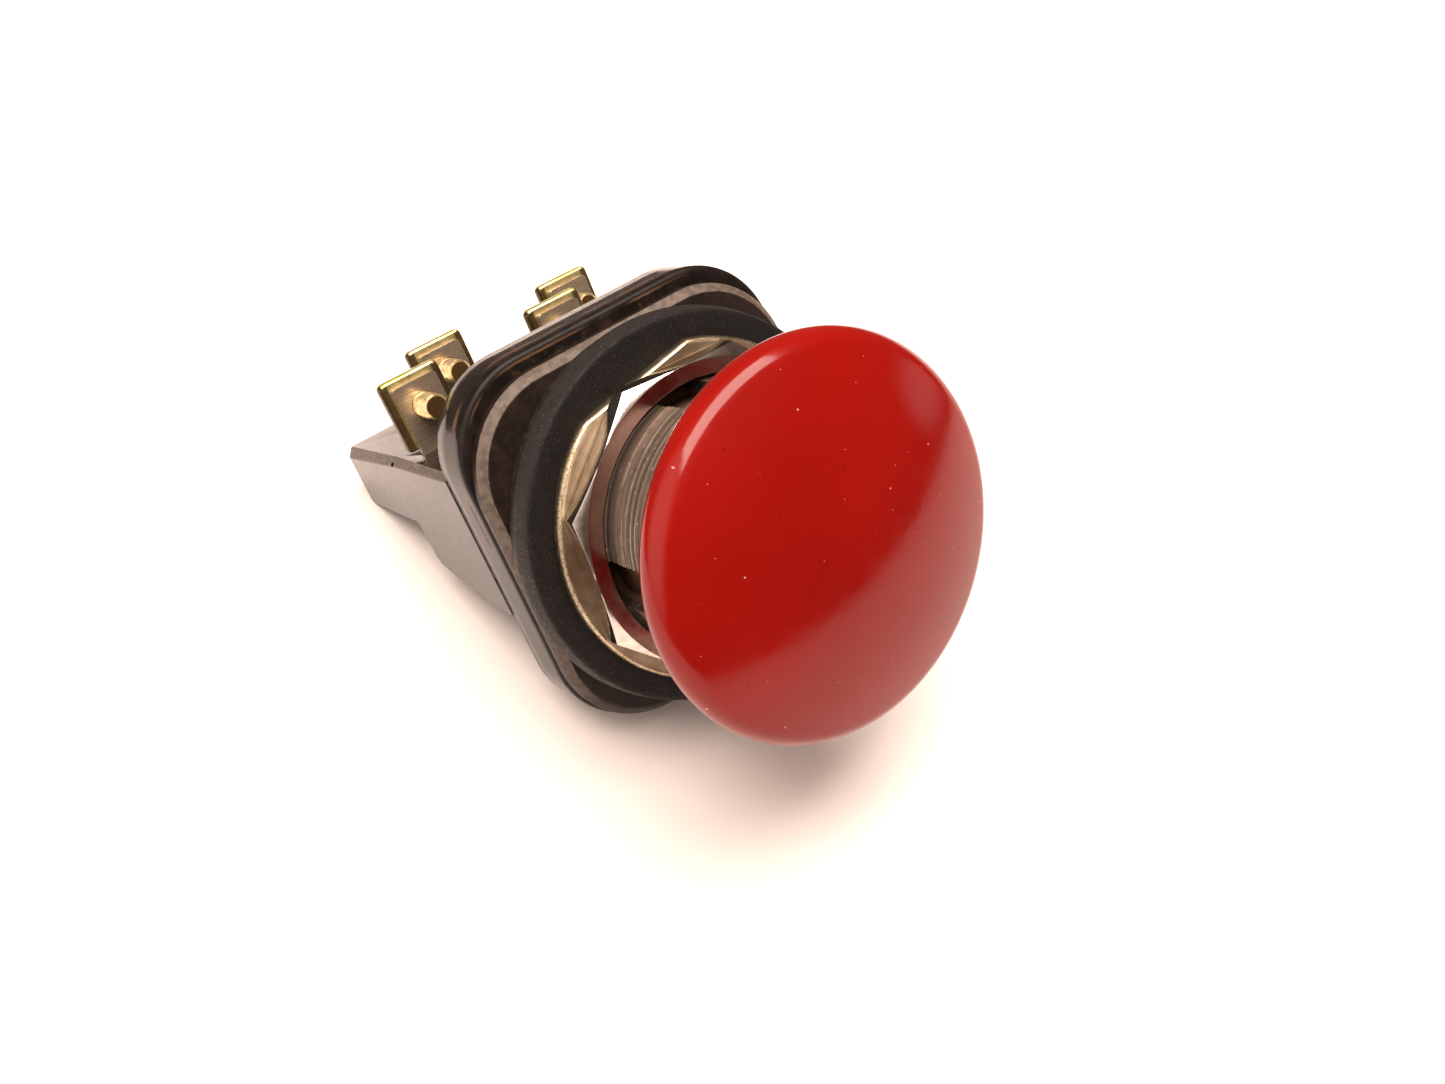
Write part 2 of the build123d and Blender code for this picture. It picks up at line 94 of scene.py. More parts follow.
def rings(name, loops, closed=True, sharp=32.0, attrs=None, ring_mats=None, cap_start=False, cap_end=False):
    """A surface through rings of points. closed joins the last ring to the first; caps are fans to the ring's centre."""
    n = len(loops[0])
    verts = [tuple(p) for ring in loops for p in ring]
    faces, mats = [], []
    count = len(loops)
    for i in range(count if closed else count - 1):
        j = (i + 1) % count
        for k in range(n):
            m = (k + 1) % n
            faces.append((i * n + k, i * n + m, j * n + m, j * n + k))
            mats.append(ring_mats[i] if ring_mats else 0)
    values = {key: [v for i in range(count) for v in ([vals[i]] * n if np.isscalar(vals[i]) else list(vals[i]))] for key, vals in (attrs or {}).items()}
    for flag, idx in ((cap_start, 0), (cap_end, count - 1)):
        if flag:
            c = np.mean(np.array(loops[idx], float), axis=0)
            verts.append(tuple(c))
            for key in values:
                values[key].append(values[key][idx * n])
            v = len(verts) - 1
            for k in range(n):
                faces.append((idx * n + k, idx * n + (k + 1) % n, v))
                mats.append(ring_mats[idx] if ring_mats else 0)
    return from_lists(name, verts, faces, sharp, values, mats)


def circle(r, y, n, cx=0.0, cz=0.0):
    return [(cx + r * cos(2 * pi * k / n), y, cz + r * sin(2 * pi * k / n)) for k in range(n)]


def rounded(points, radii, steps=5, closed=True):
    """A polygon's corners replaced by arcs. points are (a, b); radii one for each, 0 keeps the corner."""
    out = []
    n = len(points)
    for i in range(n):
        p = Vector(points[i])
        r = radii[i] if hasattr(radii, "__len__") else radii
        if (not closed and i in (0, n - 1)) or r <= 0:
            out.append(tuple(p))
            continue
        a, b = Vector(points[i - 1]) - p, Vector(points[(i + 1) % n]) - p
        la, lb = a.length, b.length
        a.normalize(), b.normalize()
        ang = a.angle(b)
        if ang > pi - 0.02:
            out.append(tuple(p))
            continue
        t = min(r / tan(ang / 2), la * 0.49, lb * 0.49)
        rr = t * tan(ang / 2)
        c = p + (a + b).normalized() * (rr / sin(ang / 2))
        s, e = p + a * t, p + b * t
        a0 = atan2(s.y - c.y, s.x - c.x)
        a1 = atan2(e.y - c.y, e.x - c.x)
        d = a1 - a0
        while d > pi:
            d -= 2 * pi
        while d < -pi:
            d += 2 * pi
        for k in range(steps + 1):
            q = a0 + d * k / steps
            out.append((c.x + rr * cos(q), c.y + rr * sin(q)))
    return out


def lathe(name, profile, n=160, cx=0.0, cz=0.0, sharp=32.0, closed=True, attrs=None, mats=None):
    """Turns a profile of (r, y) about the line x=cx, z=cz."""
    poles = [i for i, (r, y) in enumerate(profile) if r < 1e-6]
    if not poles:
        return rings(name, [circle(r, y, n, cx, cz) for r, y in profile], closed, sharp, attrs, mats)
    inner = [p for p in profile if p[0] >= 1e-6]
    loops = [circle(r, y, n, cx, cz) for r, y in inner]
    verts = [p for ring in loops for p in ring]
    faces = []
    for i in range(len(loops) - 1):
        for k in range(n):
            m = (k + 1) % n
            faces.append((i * n + k, i * n + m, (i + 1) * n + m, (i + 1) * n + k))
    if profile[0][0] < 1e-6:
        verts.append((cx, profile[0][1], cz))
        v = len(verts) - 1
        faces += [(v, (k + 1) % n, k) for k in range(n)]
    if profile[-1][0] < 1e-6:
        verts.append((cx, profile[-1][1], cz))
        v = len(verts) - 1
        o = (len(loops) - 1) * n
        faces += [(v, o + k, o + (k + 1) % n) for k in range(n)]
    return from_lists(name, verts, faces, sharp)


def rrect(hx, hz, r, n_side=14, n_arc=16, cx=0.0, cz=0.0):
    """A rounded rectangle's outline as (x, z), evenly divided, counter-clockwise from the middle of the +X side."""
    pts = []
    for q, (sx, sz) in enumerate(((1, 1), (-1, 1), (-1, -1), (1, -1))):
        ccx, ccz = sx * (hx - r), sz * (hz - r)
        for k in range(n_arc + 1):
            a = q * pi / 2 + (pi / 2) * k / n_arc
            pts.append((cx + ccx + r * cos(a), cz + ccz + r * sin(a)))
        nxt = ((-1, 1), (-1, -1), (1, -1), (1, 1))[q]
        x1, z1 = nxt[0] * (hx - r) + r * cos((q + 1) * pi / 2), nxt[1] * (hz - r) + r * sin((q + 1) * pi / 2)
        x0, z0 = pts[-1][0] - cx, pts[-1][1] - cz
        for k in range(1, n_side):
            t = k / n_side
            pts.append((cx + x0 + (x1 - x0) * t, cz + z0 + (z1 - z0) * t))
    return pts


def prism_y(name, outline, y0, y1, bevel=0.0, segs=3, sharp=32.0):
    """A solid with an outline of (x, z), from y0 to y1."""
    n = len(outline)
    verts = [(x, y0, z) for x, z in outline] + [(x, y1, z) for x, z in outline]
    faces = [tuple(range(n)), tuple(range(2 * n - 1, n - 1, -1))]
    faces += [(k, (k + 1) % n, n + (k + 1) % n, n + k) for k in range(n)]
    ob = from_lists(name, verts, faces, sharp)
    if bevel:
        soften(ob, bevel, segs)
    return ob


def prism_x(name, outline, x0, x1, bevel=0.0, segs=3, sharp=32.0):
    """A solid with an outline of (y, z), from x0 to x1."""
    n = len(outline)
    verts = [(x0, y, z) for y, z in outline] + [(x1, y, z) for y, z in outline]
    faces = [tuple(range(n)), tuple(range(2 * n - 1, n - 1, -1))]
    faces += [(k, (k + 1) % n, n + (k + 1) % n, n + k) for k in range(n)]
    ob = from_lists(name, verts, faces, sharp)
    if bevel:
        soften(ob, bevel, segs)
    return ob


def block(name, x0, x1, y0, y1, z0, z1, bevel=0.0, segs=3):
    return prism_x(name, [(y0, z0), (y1, z0), (y1, z1), (y0, z1)], x0, x1, bevel, segs)


def facing(ob, rule):
    """The wear_and_facing_light attribute of a finished mesh from the way each vertex faces, for painted light and
    shade by facing direction.
    """
    me = ob.data
    at = me.attributes.get("wear_and_facing_light") or me.attributes.new("wear_and_facing_light", "FLOAT", "POINT")
    at.data.foreach_set("value", [min(1.0, max(0.0, rule(n.vector))) for n in me.vertex_normals])


def soften(ob, width, segs=3, angle=28.0):
    """A small round on the sharp edges, kept as a modifier."""
    m = ob.modifiers.new("edge_round", "BEVEL")
    m.width = width * MM
    m.segments = segs
    m.limit_method = "ANGLE"
    m.angle_limit = radians(angle)
    m.use_clamp_overlap = True
    m.harden_normals = False
    m.miter_outer = "MITER_ARC"
    return ob


def bake(ob, sharp=32.0):
    """Replaces an object's mesh with its modified form."""
    dg = bpy.context.evaluated_depsgraph_get()
    me = bpy.data.meshes.new_from_object(ob.evaluated_get(dg))
    old = ob.data
    ob.modifiers.clear()
    ob.data = me
    me.name = ob.name
    if old.users == 0:
        bpy.data.meshes.remove(old)
    me.shade_smooth()
    me.set_sharp_from_angle(angle=radians(sharp))
    return ob


def cut(ob, tools, op="DIFFERENCE", sharp=32.0):
    """Boolean with each tool in turn; the tools are then removed."""
    for t in tools:
        m = ob.modifiers.new("cut", "BOOLEAN")
        m.operation = op
        m.solver = "EXACT"
        m.object = t
        bake(ob, sharp)
        old = t.data
        bpy.data.objects.remove(t)
        bpy.data.meshes.remove(old)
    return ob


def join(name, obs):
    """One object from several, each keeping its own closed shell and material."""
    bpy.context.view_layer.update()
    dg = bpy.context.evaluated_depsgraph_get()
    bm = bmesh.new()
    mats = []
    for ob in obs:
        e = ob.evaluated_get(dg)
        me = bpy.data.meshes.new_from_object(e)
        index = []
        for m in me.materials:
            if m not in mats:
                mats.append(m)
            index.append(mats.index(m))
        for p in me.polygons:
            p.material_index = index[p.material_index] if index else 0
        bm.from_mesh(me)
        bpy.data.meshes.remove(me)
    out = bpy.data.meshes.new(name)
    bm.to_mesh(out)
    bm.free()
    for m in mats:
        out.materials.append(m)
    for ob in obs:
        old = ob.data
        bpy.data.objects.remove(ob)
        if old.users == 0:
            bpy.data.meshes.remove(old)
    out.shade_smooth()
    out.set_sharp_from_angle(angle=radians(32))
    return add(name, out)


def coil(name, cx, cz, y0, y1, r_mean, wire, turns, closed_ends=1.0, n_turn=36, n_wire=12):
    """A compression spring along Y with closed ends, as a swept mesh."""
    total = int(round(turns * n_turn))
    pts = []
    for i in range(total + 1):
        t = i / total
        a = 2 * pi * turns * t
        # pitch eases to the wire's own thickness over the closed end turns
        e = closed_ends / turns
        def ease(u):
            flat = wire * closed_ends
            free = (y1 - y0 - wire) - 2 * flat
            if u < e:
                return flat * (u / e)
            if u > 1 - e:
                return flat + free + flat * ((u - (1 - e)) / e)
            return flat + free * ((u - e) / (1 - 2 * e))
        y = y0 + wire / 2 + ease(t)
        pts.append(Vector((cx + r_mean * cos(a), y, cz + r_mean * sin(a))))
    loops = []
    for i, p in enumerate(pts):
        d = (pts[min(i + 1, total)] - pts[max(i - 1, 0)]).normalized()
        radial = Vector((p.x - cx, 0, p.z - cz)).normalized()
        b = d.cross(radial).normalized()
        radial = b.cross(d).normalized()
        loops.append([tuple(p + radial * (wire / 2 * cos(2 * pi * k / n_wire)) + b * (wire / 2 * sin(2 * pi * k / n_wire))) for k in range(n_wire)])
    return rings(name, loops, closed=False, cap_start=True, cap_end=True, sharp=50)


# ---------------------------------------------------------------- materials
class Mat:
    """Builds a node material with the object's own coordinates, in millimetres."""

    def __init__(self, name, base, rough=0.5, metal=0.0, spec=0.5, ior=1.5, coat=0.0, coat_rough=0.1):
        self.m = bpy.data.materials.new(name)
        self.m.use_nodes = True
        self.t = self.m.node_tree
        self.t.nodes.clear()
        self.out = self.t.nodes.new("ShaderNodeOutputMaterial")
        self.b = self.t.nodes.new("ShaderNodeBsdfPrincipled")
        self.t.links.new(self.b.outputs[0], self.out.inputs[0])
        self.b.inputs["Base Color"].default_value = (*base, 1)
        self.b.inputs["Roughness"].default_value = rough
        self.b.inputs["Metallic"].default_value = metal
        self.b.inputs["Specular IOR Level"].default_value = spec
        self.b.inputs["IOR"].default_value = ior
        self.b.inputs["Coat Weight"].default_value = coat
        self.b.inputs["Coat Roughness"].default_value = coat_rough
        tc = self.t.nodes.new("ShaderNodeTexCoord")
        self.co = self.vec("SCALE", tc.outputs["Object"], scale=1000.0)
        self.m.diffuse_color = (*base, 1)

    def link(self, value, socket):
        if isinstance(value, bpy.types.NodeSocket):
            self.t.links.new(value, socket)
        elif value is not None:
            if hasattr(socket.default_value, "__len__") and not hasattr(value, "__len__"):
                value = [value] * len(socket.default_value)
            if hasattr(value, "__len__") and len(value) == 3 and len(socket.default_value) == 4:
                value = (*value, 1)
            socket.default_value = value

    def vec(self, op, a, b=None, scale=None):
        n = self.t.nodes.new("ShaderNodeVectorMath")
        n.operation = op
        self.link(a, n.inputs[0])
        if b is not None:
            self.link(b, n.inputs[1])
        if scale is not None:
            self.link(scale, n.inputs["Scale"])
        return n.outputs["Value"] if op in ("LENGTH", "DOT_PRODUCT", "DISTANCE") else n.outputs["Vector"]

    def math(self, op, a, b=None, c=None, clamp=False):
        n = self.t.nodes.new("ShaderNodeMath")
        n.operation = op
        n.use_clamp = clamp
        self.link(a, n.inputs[0])
        if b is not None:
            self.link(b, n.inputs[1])
        if c is not None:
            self.link(c, n.inputs[2])
        return n.outputs[0]

    def xyz(self, v=None):
        n = self.t.nodes.new("ShaderNodeSeparateXYZ")
        self.link(v if v is not None else self.co, n.inputs[0])
        return n.outputs[0], n.outputs[1], n.outputs[2]

    def join(self, x, y, z):
        n = self.t.nodes.new("ShaderNodeCombineXYZ")
        for i, v in enumerate((x, y, z)):
            self.link(v, n.inputs[i])
        return n.outputs[0]

    def scaled(self, sx, sy, sz):
        return self.vec("MULTIPLY", self.co, (sx, sy, sz))

    def polar(self, cx=0.0, cz=0.0):
        """(radius, angle, y) about the axis, in millimetres and radians."""
        x, y, z = self.xyz()
        dx, dz = self.math("SUBTRACT", x, cx), self.math("SUBTRACT", z, cz)
        r = self.math("SQRT", self.math("ADD", self.math("MULTIPLY", dx, dx), self.math("MULTIPLY", dz, dz)))
        return r, self.math("ARCTAN2", dz, dx), y

    def noise(self, scale, detail=3.0, rough=0.55, co=None, distort=0.0, w=None):
        n = self.t.nodes.new("ShaderNodeTexNoise")
        n.noise_dimensions = "3D"
        self.link(co if co is not None else self.co, n.inputs["Vector"])
        n.inputs["Scale"].default_value = scale
        n.inputs["Detail"].default_value = detail
        n.inputs["Roughness"].default_value = rough
        n.inputs["Distortion"].default_value = distort
        return n.outputs["Fac"]

    def cells(self, scale, co=None, feature="F1", rand=1.0, flat=False):
        n = self.t.nodes.new("ShaderNodeTexVoronoi")
        if flat:
            n.voronoi_dimensions = "2D"
        n.feature = feature
        self.link(co if co is not None else self.co, n.inputs["Vector"])
        n.inputs["Scale"].default_value = scale
        n.inputs["Randomness"].default_value = rand
        return n.outputs["Distance"], n.outputs["Color"] if feature == "F1" else None

    def span(self, v, a, b, c=0.0, d=1.0, smooth=True):
        n = self.t.nodes.new("ShaderNodeMapRange")
        n.interpolation_type = "SMOOTHSTEP" if smooth else "LINEAR"
        n.clamp = True
        self.link(v, n.inputs[0])
        for i, x in enumerate((a, b, c, d)):
            self.link(x, n.inputs[i + 1])
        return n.outputs[0]

    def attr(self, name):
        n = self.t.nodes.new("ShaderNodeAttribute")
        n.attribute_name = name
        return n.outputs["Fac"]

    def mix(self, fac, a, b):
        n = self.t.nodes.new("ShaderNodeMix")
        n.data_type = "RGBA"
        self.link(fac, n.inputs["Factor"])
        self.link(a, n.inputs[6])
        self.link(b, n.inputs[7])
        return n.outputs[2]

    def bump(self, height, distance, strength=1.0, normal=None):
        """distance in millimetres for a height of 0 to 1."""
        n = self.t.nodes.new("ShaderNodeBump")
        n.inputs["Strength"].default_value = strength
        n.inputs["Distance"].default_value = distance * MM
        self.link(height, n.inputs["Height"])
        if normal is not None:
            self.link(normal, n.inputs["Normal"])
        return n.outputs[0]

    def front(self):
        """The object's x and z as a flat pattern plane."""
        x, _, z = self.xyz()
        return self.join(x, z, 0.0)

    def specks(self, scale, size, keep=0.5, co=None, flat=False):
        """1 inside small random dots, 0 elsewhere."""
        d, c = self.cells(scale, co, flat=flat)
        x, _, _ = self.xyz(c)
        return self.math("MULTIPLY", self.span(d, size, size * 0.55), self.math("GREATER_THAN", x, 1 - keep))

    def set(self, color=None, rough=None, metal=None, normal=None):
        for key, v in (("Base Color", color), ("Roughness", rough), ("Metallic", metal), ("Normal", normal)):
            if v is not None:
                self.link(v, self.b.inputs[key])
        return self.m


def give(ob, *materials):
    me = ob.data
    idx = np.zeros(len(me.polygons), np.int32)
    me.polygons.foreach_get("material_index", idx)
    me.materials.clear()
    for m in materials:
        me.materials.append(m)
    # clearing the slots resets the faces' slot numbers, so they go back on
    me.polygons.foreach_set("material_index", np.minimum(idx, len(materials) - 1).astype(np.int32))
    return ob


# head: glossy red moulding, faint orange peel, hairline scratches and a little dust
M = Mat("head_red", lin(132, 13, 5), rough=0.15, spec=0.32)
large = M.noise(0.06, 2)
col = M.mix(M.span(large, 0.3, 0.7), lin(126, 11, 5), lin(134, 13, 6))
scr1 = M.noise(1.0, 1, co=M.vec("MULTIPLY", M.co, (0.35, 1, 9.0)))
scr2 = M.noise(1.0, 1, co=M.vec("MULTIPLY", M.co, (7.0, 1, 0.3)))
hair = M.math("MAXIMUM", M.span(scr1, 0.775, 0.79), M.span(scr2, 0.785, 0.80))
dots = M.math("MAXIMUM", M.specks(0.17, 0.020, 0.24, M.front(), True), M.specks(0.45, 0.026, 0.10, M.front(), True))
dark = M.specks(0.12, 0.016, 0.3, M.vec("ADD", M.front(), (31.7, 12.3, 0.0)), True)
col = M.mix(M.math("MULTIPLY", hair, 0.05), col, lin(230, 120, 105))
col = M.mix(M.math("MULTIPLY", dots, 0.45), col, lin(235, 190, 175))
col = M.mix(M.math("MULTIPLY", dark, 0.8), col, lin(60, 16, 10))
rgh = M.math("ADD", M.span(M.noise(0.35, 3), 0.3, 0.75, 0.10, 0.17), M.math("MULTIPLY", hair, 0.15))
peel = M.noise(0.55, 2)
RED = M.set(col, rgh, normal=M.bump(M.math("ADD", peel, M.math("MULTIPLY", dots, 0.6)), 0.02, 0.5))

# bushing: turned and plated zinc, dark, darker below the thread crests, with blotches of grime and painted highlight
# lines and glints along the threads
M = Mat("bushing_metal", lin(92, 80, 70), rough=0.5, metal=0.4, spec=0.3)
r, a, y = M.polar()
floor_zone = M.math("MULTIPLY", M.span(r, 13.9, 13.5), M.span(r, 12.5, 12.7))
grime = M.noise(0.9, 4)
fine = M.noise(1.0, 2, co=M.join(M.math("MULTIPLY", a, 4.0), M.math("MULTIPLY", y, 22.0), M.math("MULTIPLY", r, 3.0)))
line = M.noise(1.0, 1, co=M.join(M.math("MULTIPLY", a, 1.2), M.math("MULTIPLY", M.math("SUBTRACT", y, M.math("MULTIPLY", a, 0.16)), 6.0), 0.0))
depth = M.span(r, 14.62, 14.86)
col = M.mix(M.span(fine, 0.35, 0.65), lin(92, 80, 69), lin(116, 102, 89))
# painted highlight: bright lines along the thread helix
col = M.mix(M.math("MULTIPLY", M.span(line, 0.58, 0.66), 0.8), col, lin(172, 158, 140))
# darker below r 14.62: the thread roots, the front rim and the bore
col = M.mix(depth, lin(58, 48, 40), col)
col = M.mix(M.math("MULTIPLY", M.span(grime, 0.45, 0.72), 0.6), col, lin(74, 62, 54))
# painted glints: small bright dashes along the threads
glint = M.specks(1.0, 0.16, 0.30, co=M.join(M.math("MULTIPLY", a, 16.0), M.math("MULTIPLY", y, 5.0), 0.0))
col = M.mix(M.math("MULTIPLY", glint, 0.8), col, lin(226, 216, 204))
col = M.mix(floor_zone, col, lin(92, 70, 54))
BUSH = M.set(
    col,
    M.span(M.noise(1.6, 3), 0.3, 0.7, 0.42, 0.58),
    metal=M.math("SUBTRACT", 0.4, M.math("MULTIPLY", floor_zone, 0.3)),
    normal=M.bump(M.math("ADD", fine, M.math("MULTIPLY", M.noise(7.0, 3), 0.5)), 0.02, 0.5),
)

# die-cast flange: black paint gone brown with age, rubbed to bare grey on its chamfer; the grey fades out toward the
# bottom as painted shade
M = Mat("flange_casting", lin(40, 30, 26), rough=0.42, spec=0.35)
wear_and_facing_light = M.attr("wear_and_facing_light")
edge = M.math("ADD", wear_and_facing_light, M.math("MULTIPLY", M.math("SUBTRACT", M.noise(2.4, 4, 0.65), 0.5), 0.46))
_, _, zz = M.xyz()
# painted shade: the chamfer's rubbed grey weakens below z -4 and is gone below z -16.4
worn_fading_to_painted_shade = M.math("MULTIPLY", M.math("MULTIPLY", M.span(edge, 0.46, 0.58), M.span(zz, -16.4, -12.6)), M.span(zz, -14.0, -4.0, 0.6, 1.0))
base_c = M.mix(M.span(M.noise(0.5, 4), 0.35, 0.7), lin(24, 16, 12), lin(36, 25, 19))
dust = M.specks(2.6, 0.12, 0.35)
base_c = M.mix(M.math("MULTIPLY", dust, 0.35), base_c, lin(150, 125, 100))
worn_c = M.mix(M.span(M.noise(1.1, 4), 0.35, 0.7), lin(102, 90, 80), lin(76, 65, 57))
FLANGE = M.set(
    M.mix(worn_fading_to_painted_shade, base_c, worn_c),
    M.mix(worn_fading_to_painted_shade, M.span(M.noise(1.2, 3), 0.3, 0.7, 0.38, 0.54), 0.62),
    metal=M.math("MULTIPLY", worn_fading_to_painted_shade, 0.1),
    normal=M.bump(M.math("ADD", M.noise(5.0, 3), M.math("MULTIPLY", worn_fading_to_painted_shade, -0.8)), 0.03, 0.6),
)

# ring nut: satin nickel-chrome plate with fine turning marks and small nicks
M = Mat("nut_plate", lin(214, 206, 198), rough=0.12, metal=1.0)
r, a, y = M.polar()
turn = M.noise(1.0, 2, co=M.join(M.math("MULTIPLY", r, 14.0), M.math("MULTIPLY", y, 14.0), M.math("MULTIPLY", a, 0.8)))
nick = M.specks(0.9, 0.10, 0.4)
col = M.mix(M.span(M.noise(0.7, 4), 0.4, 0.75), lin(208, 200, 192), lin(178, 166, 152))
# painted reflection: the flat front face tinted pink-red, standing in for the red head reflected in it
face = M.math("MULTIPLY", M.span(r, 16.90, 16.82), M.math("LESS_THAN", y, -3.9))
col = M.mix(M.math("MULTIPLY", face, 0.75), col, lin(196, 158, 148))
NUT = M.set(col, M.math("ADD", M.span(M.noise(1.3, 3), 0.3, 0.7, 0.08, 0.14), M.math("MULTIPLY", face, 0.09)), normal=M.bump(M.math("SUBTRACT", turn, M.math("MULTIPLY", nick, 0.8)), 0.008, 0.3))

# washer: duller nickel, tan with age, granular round its rim
M = Mat("washer_plate", lin(190, 174, 146), rough=0.32, metal=1.0)
r, a, y = M.polar()
rim = M.span(r, 18.25, 18.55)
grain = M.noise(4.5, 3, 0.7)
col = M.mix(M.span(M.noise(0.35, 3), 0.3, 0.75), lin(200, 186, 162), lin(170, 152, 126))
col = M.mix(M.math("MULTIPLY", rim, M.span(grain, 0.45, 0.65)), col, lin(112, 92, 60))
WASHER = M.set(
    col,
    M.span(M.noise(0.5, 2), 0.3, 0.7, 0.30, 0.38),
    normal=M.bump(M.math("MULTIPLY", grain, M.math("ADD", M.math("MULTIPLY", rim, 0.95), 0.012)), 0.08, 0.7),
)

# panel gasket: matt black rubber with pale dust and a scuffed side
M = Mat("gasket_rubber", lin(24, 20, 18), rough=0.6, spec=0.25)
r, a, y = M.polar()
side = M.span(r, 21.55, 21.75)
patch = M.span(M.noise(0.12, 2), 0.40, 0.60, 0.25, 1.0)
dust = M.math("MULTIPLY", patch, M.math("MAXIMUM", M.specks(1.5, 0.07, 0.30, M.front(), True), M.specks(3.6, 0.12, 0.22, M.front(), True)))
cloud = M.span(M.noise(0.45, 4, 0.6), 0.42, 0.75)
col = M.mix(cloud, lin(12, 9, 8), lin(20, 15, 12))
col = M.mix(M.math("MULTIPLY", side, M.span(M.noise(1.3, 4), 0.25, 0.6, 0.55, 1.0)), col, lin(36, 32, 30))
col = M.mix(M.math("MULTIPLY", dust, 0.45), col, lin(140, 120, 100))
GASKET = M.set(col, M.span(M.noise(2.2, 3), 0.3, 0.7, 0.52, 0.75), normal=M.bump(M.math("ADD", M.noise(6.0, 3), M.math("MULTIPLY", dust, 0.8)), 0.05, 0.6))

# spacer gasket and seal: darker rubber
M = Mat("spacer_rubber", lin(20, 17, 16), rough=0.55, spec=0.35)
SPACER = M.set(
    M.mix(M.span(M.noise(0.8, 4), 0.4, 0.7), lin(18, 15, 14), lin(38, 32, 28)),
    M.span(M.noise(2.0, 3), 0.3, 0.7, 0.45, 0.7),
    normal=M.bump(M.noise(6.5, 3), 0.04, 0.5),
)
M = Mat("seal_rubber", lin(24, 22, 21), rough=0.5, spec=0.4)
SEAL = M.set(
    M.mix(M.span(M.noise(1.1, 4), 0.4, 0.7), lin(20, 18, 17), lin(40, 36, 33)),
    M.span(M.noise(2.0, 3), 0.3, 0.7, 0.4, 0.62),
    normal=M.bump(M.noise(7.5, 3), 0.03, 0.5),
)

# operator base: glossy black paint, brown dust caught along its step
M = Mat("base_black", lin(22, 18, 17), rough=0.24, spec=0.17)
wear_and_facing_light = M.attr("wear_and_facing_light")
r, a, y = M.polar()
along = M.noise(1.0, 2, co=M.join(M.math("MULTIPLY", M.math("COSINE", a), 2.4), M.math("MULTIPLY", M.math("SINE", a), 2.4), M.math("MULTIPLY", y, 0.12)))
ragged = M.math("ADD", wear_and_facing_light, M.math("MULTIPLY", M.math("SUBTRACT", M.noise(1.2, 4, 0.6), 0.5), 0.3))
line = M.math("MULTIPLY", M.span(ragged, 0.42, 0.58), M.span(ragged, 0.98, 0.86))
near = M.span(M.math("COSINE", M.math("SUBTRACT", a, radians(118))), 0.35, 0.80, 0.12, 1.0)
dusty = M.math("MULTIPLY", M.math("MULTIPLY", M.span(along, 0.42, 0.58), line), near)
cloud = M.span(M.noise(0.5, 4), 0.4, 0.72)
dots = M.specks(2.4, 0.11, 0.22)
col = M.mix(cloud, lin(18, 14, 12), lin(32, 25, 21))
col = M.mix(M.math("MULTIPLY", dusty, 0.7), col, lin(104, 74, 52))
col = M.mix(M.math("MULTIPLY", dots, 0.16), col, lin(150, 125, 100))
BASE = M.set(
    col,
    M.math("ADD", M.math("ADD", M.span(M.noise(1.4, 3), 0.3, 0.7, 0.11, 0.18), M.math("MULTIPLY", dusty, 0.4)), M.span(y, 8.5, 8.1, 0.0, 0.26)),
    normal=M.bump(M.math("ADD", M.noise(1.1, 2), M.math("MULTIPLY", M.noise(5.0, 2), 0.03)), 0.014, 0.3),
)

# contact block: glossy black phenolic with faint filler grain; the cover's chamfered edges a separate grey
M = Mat("block_phenolic", lin(26, 22, 20), rough=0.14, spec=0.42)
cloud = M.span(M.noise(0.35, 4), 0.4, 0.72)
grain = M.noise(5.5, 4, 0.7)
col = M.mix(cloud, lin(24, 20, 18), lin(40, 33, 29))
col = M.mix(M.math("MULTIPLY", M.span(grain, 0.62, 0.72), 0.35), col, lin(84, 72, 62))
BLOCK = M.set(
    col,
    M.span(M.noise(0.9, 3), 0.3, 0.7, 0.10, 0.22),
    normal=M.bump(M.math("ADD", M.noise(0.8, 2), M.math("MULTIPLY", grain, 0.05)), 0.006, 0.3),
)
M = Mat("block_chamfer", lin(96, 86, 76), rough=0.5, spec=0.25)
CHAMFER = M.set(
    M.mix(M.span(M.noise(2.6, 4), 0.35, 0.7), lin(72, 63, 56), lin(98, 88, 79)),
    M.span(M.noise(1.8, 3), 0.3, 0.7, 0.42, 0.6),
    normal=M.bump(M.noise(5.0, 3), 0.05, 0.5),
)

# terminals: yellow-chromated clamps, duller brass strips, brass-coloured screws
M = Mat("clamp_zinc", lin(214, 200, 150), rough=0.34, metal=0.9, spec=0.5)
side = M.attr("wear_and_facing_light")
irid = M.span(M.noise(0.4, 3, distort=0.6), 0.3, 0.7)
col = M.mix(irid, lin(238, 226, 160), lin(216, 198, 146))
# painted shade: the clamp faces darkened at their ends, beside the narrower strips
ends = None
for cx in (-16.0, 4.2, -8.2, 11.4):
    u = M.math("ABSOLUTE", M.math("SUBTRACT", M.xyz()[0], cx))
    e = M.math("MULTIPLY", M.span(u, 2.70, 3.05), M.math("LESS_THAN", u, 3.9))
    ends = e if ends is None else M.math("MAXIMUM", ends, e)
col = M.mix(M.math("MULTIPLY", ends, 0.85), col, lin(96, 78, 42))
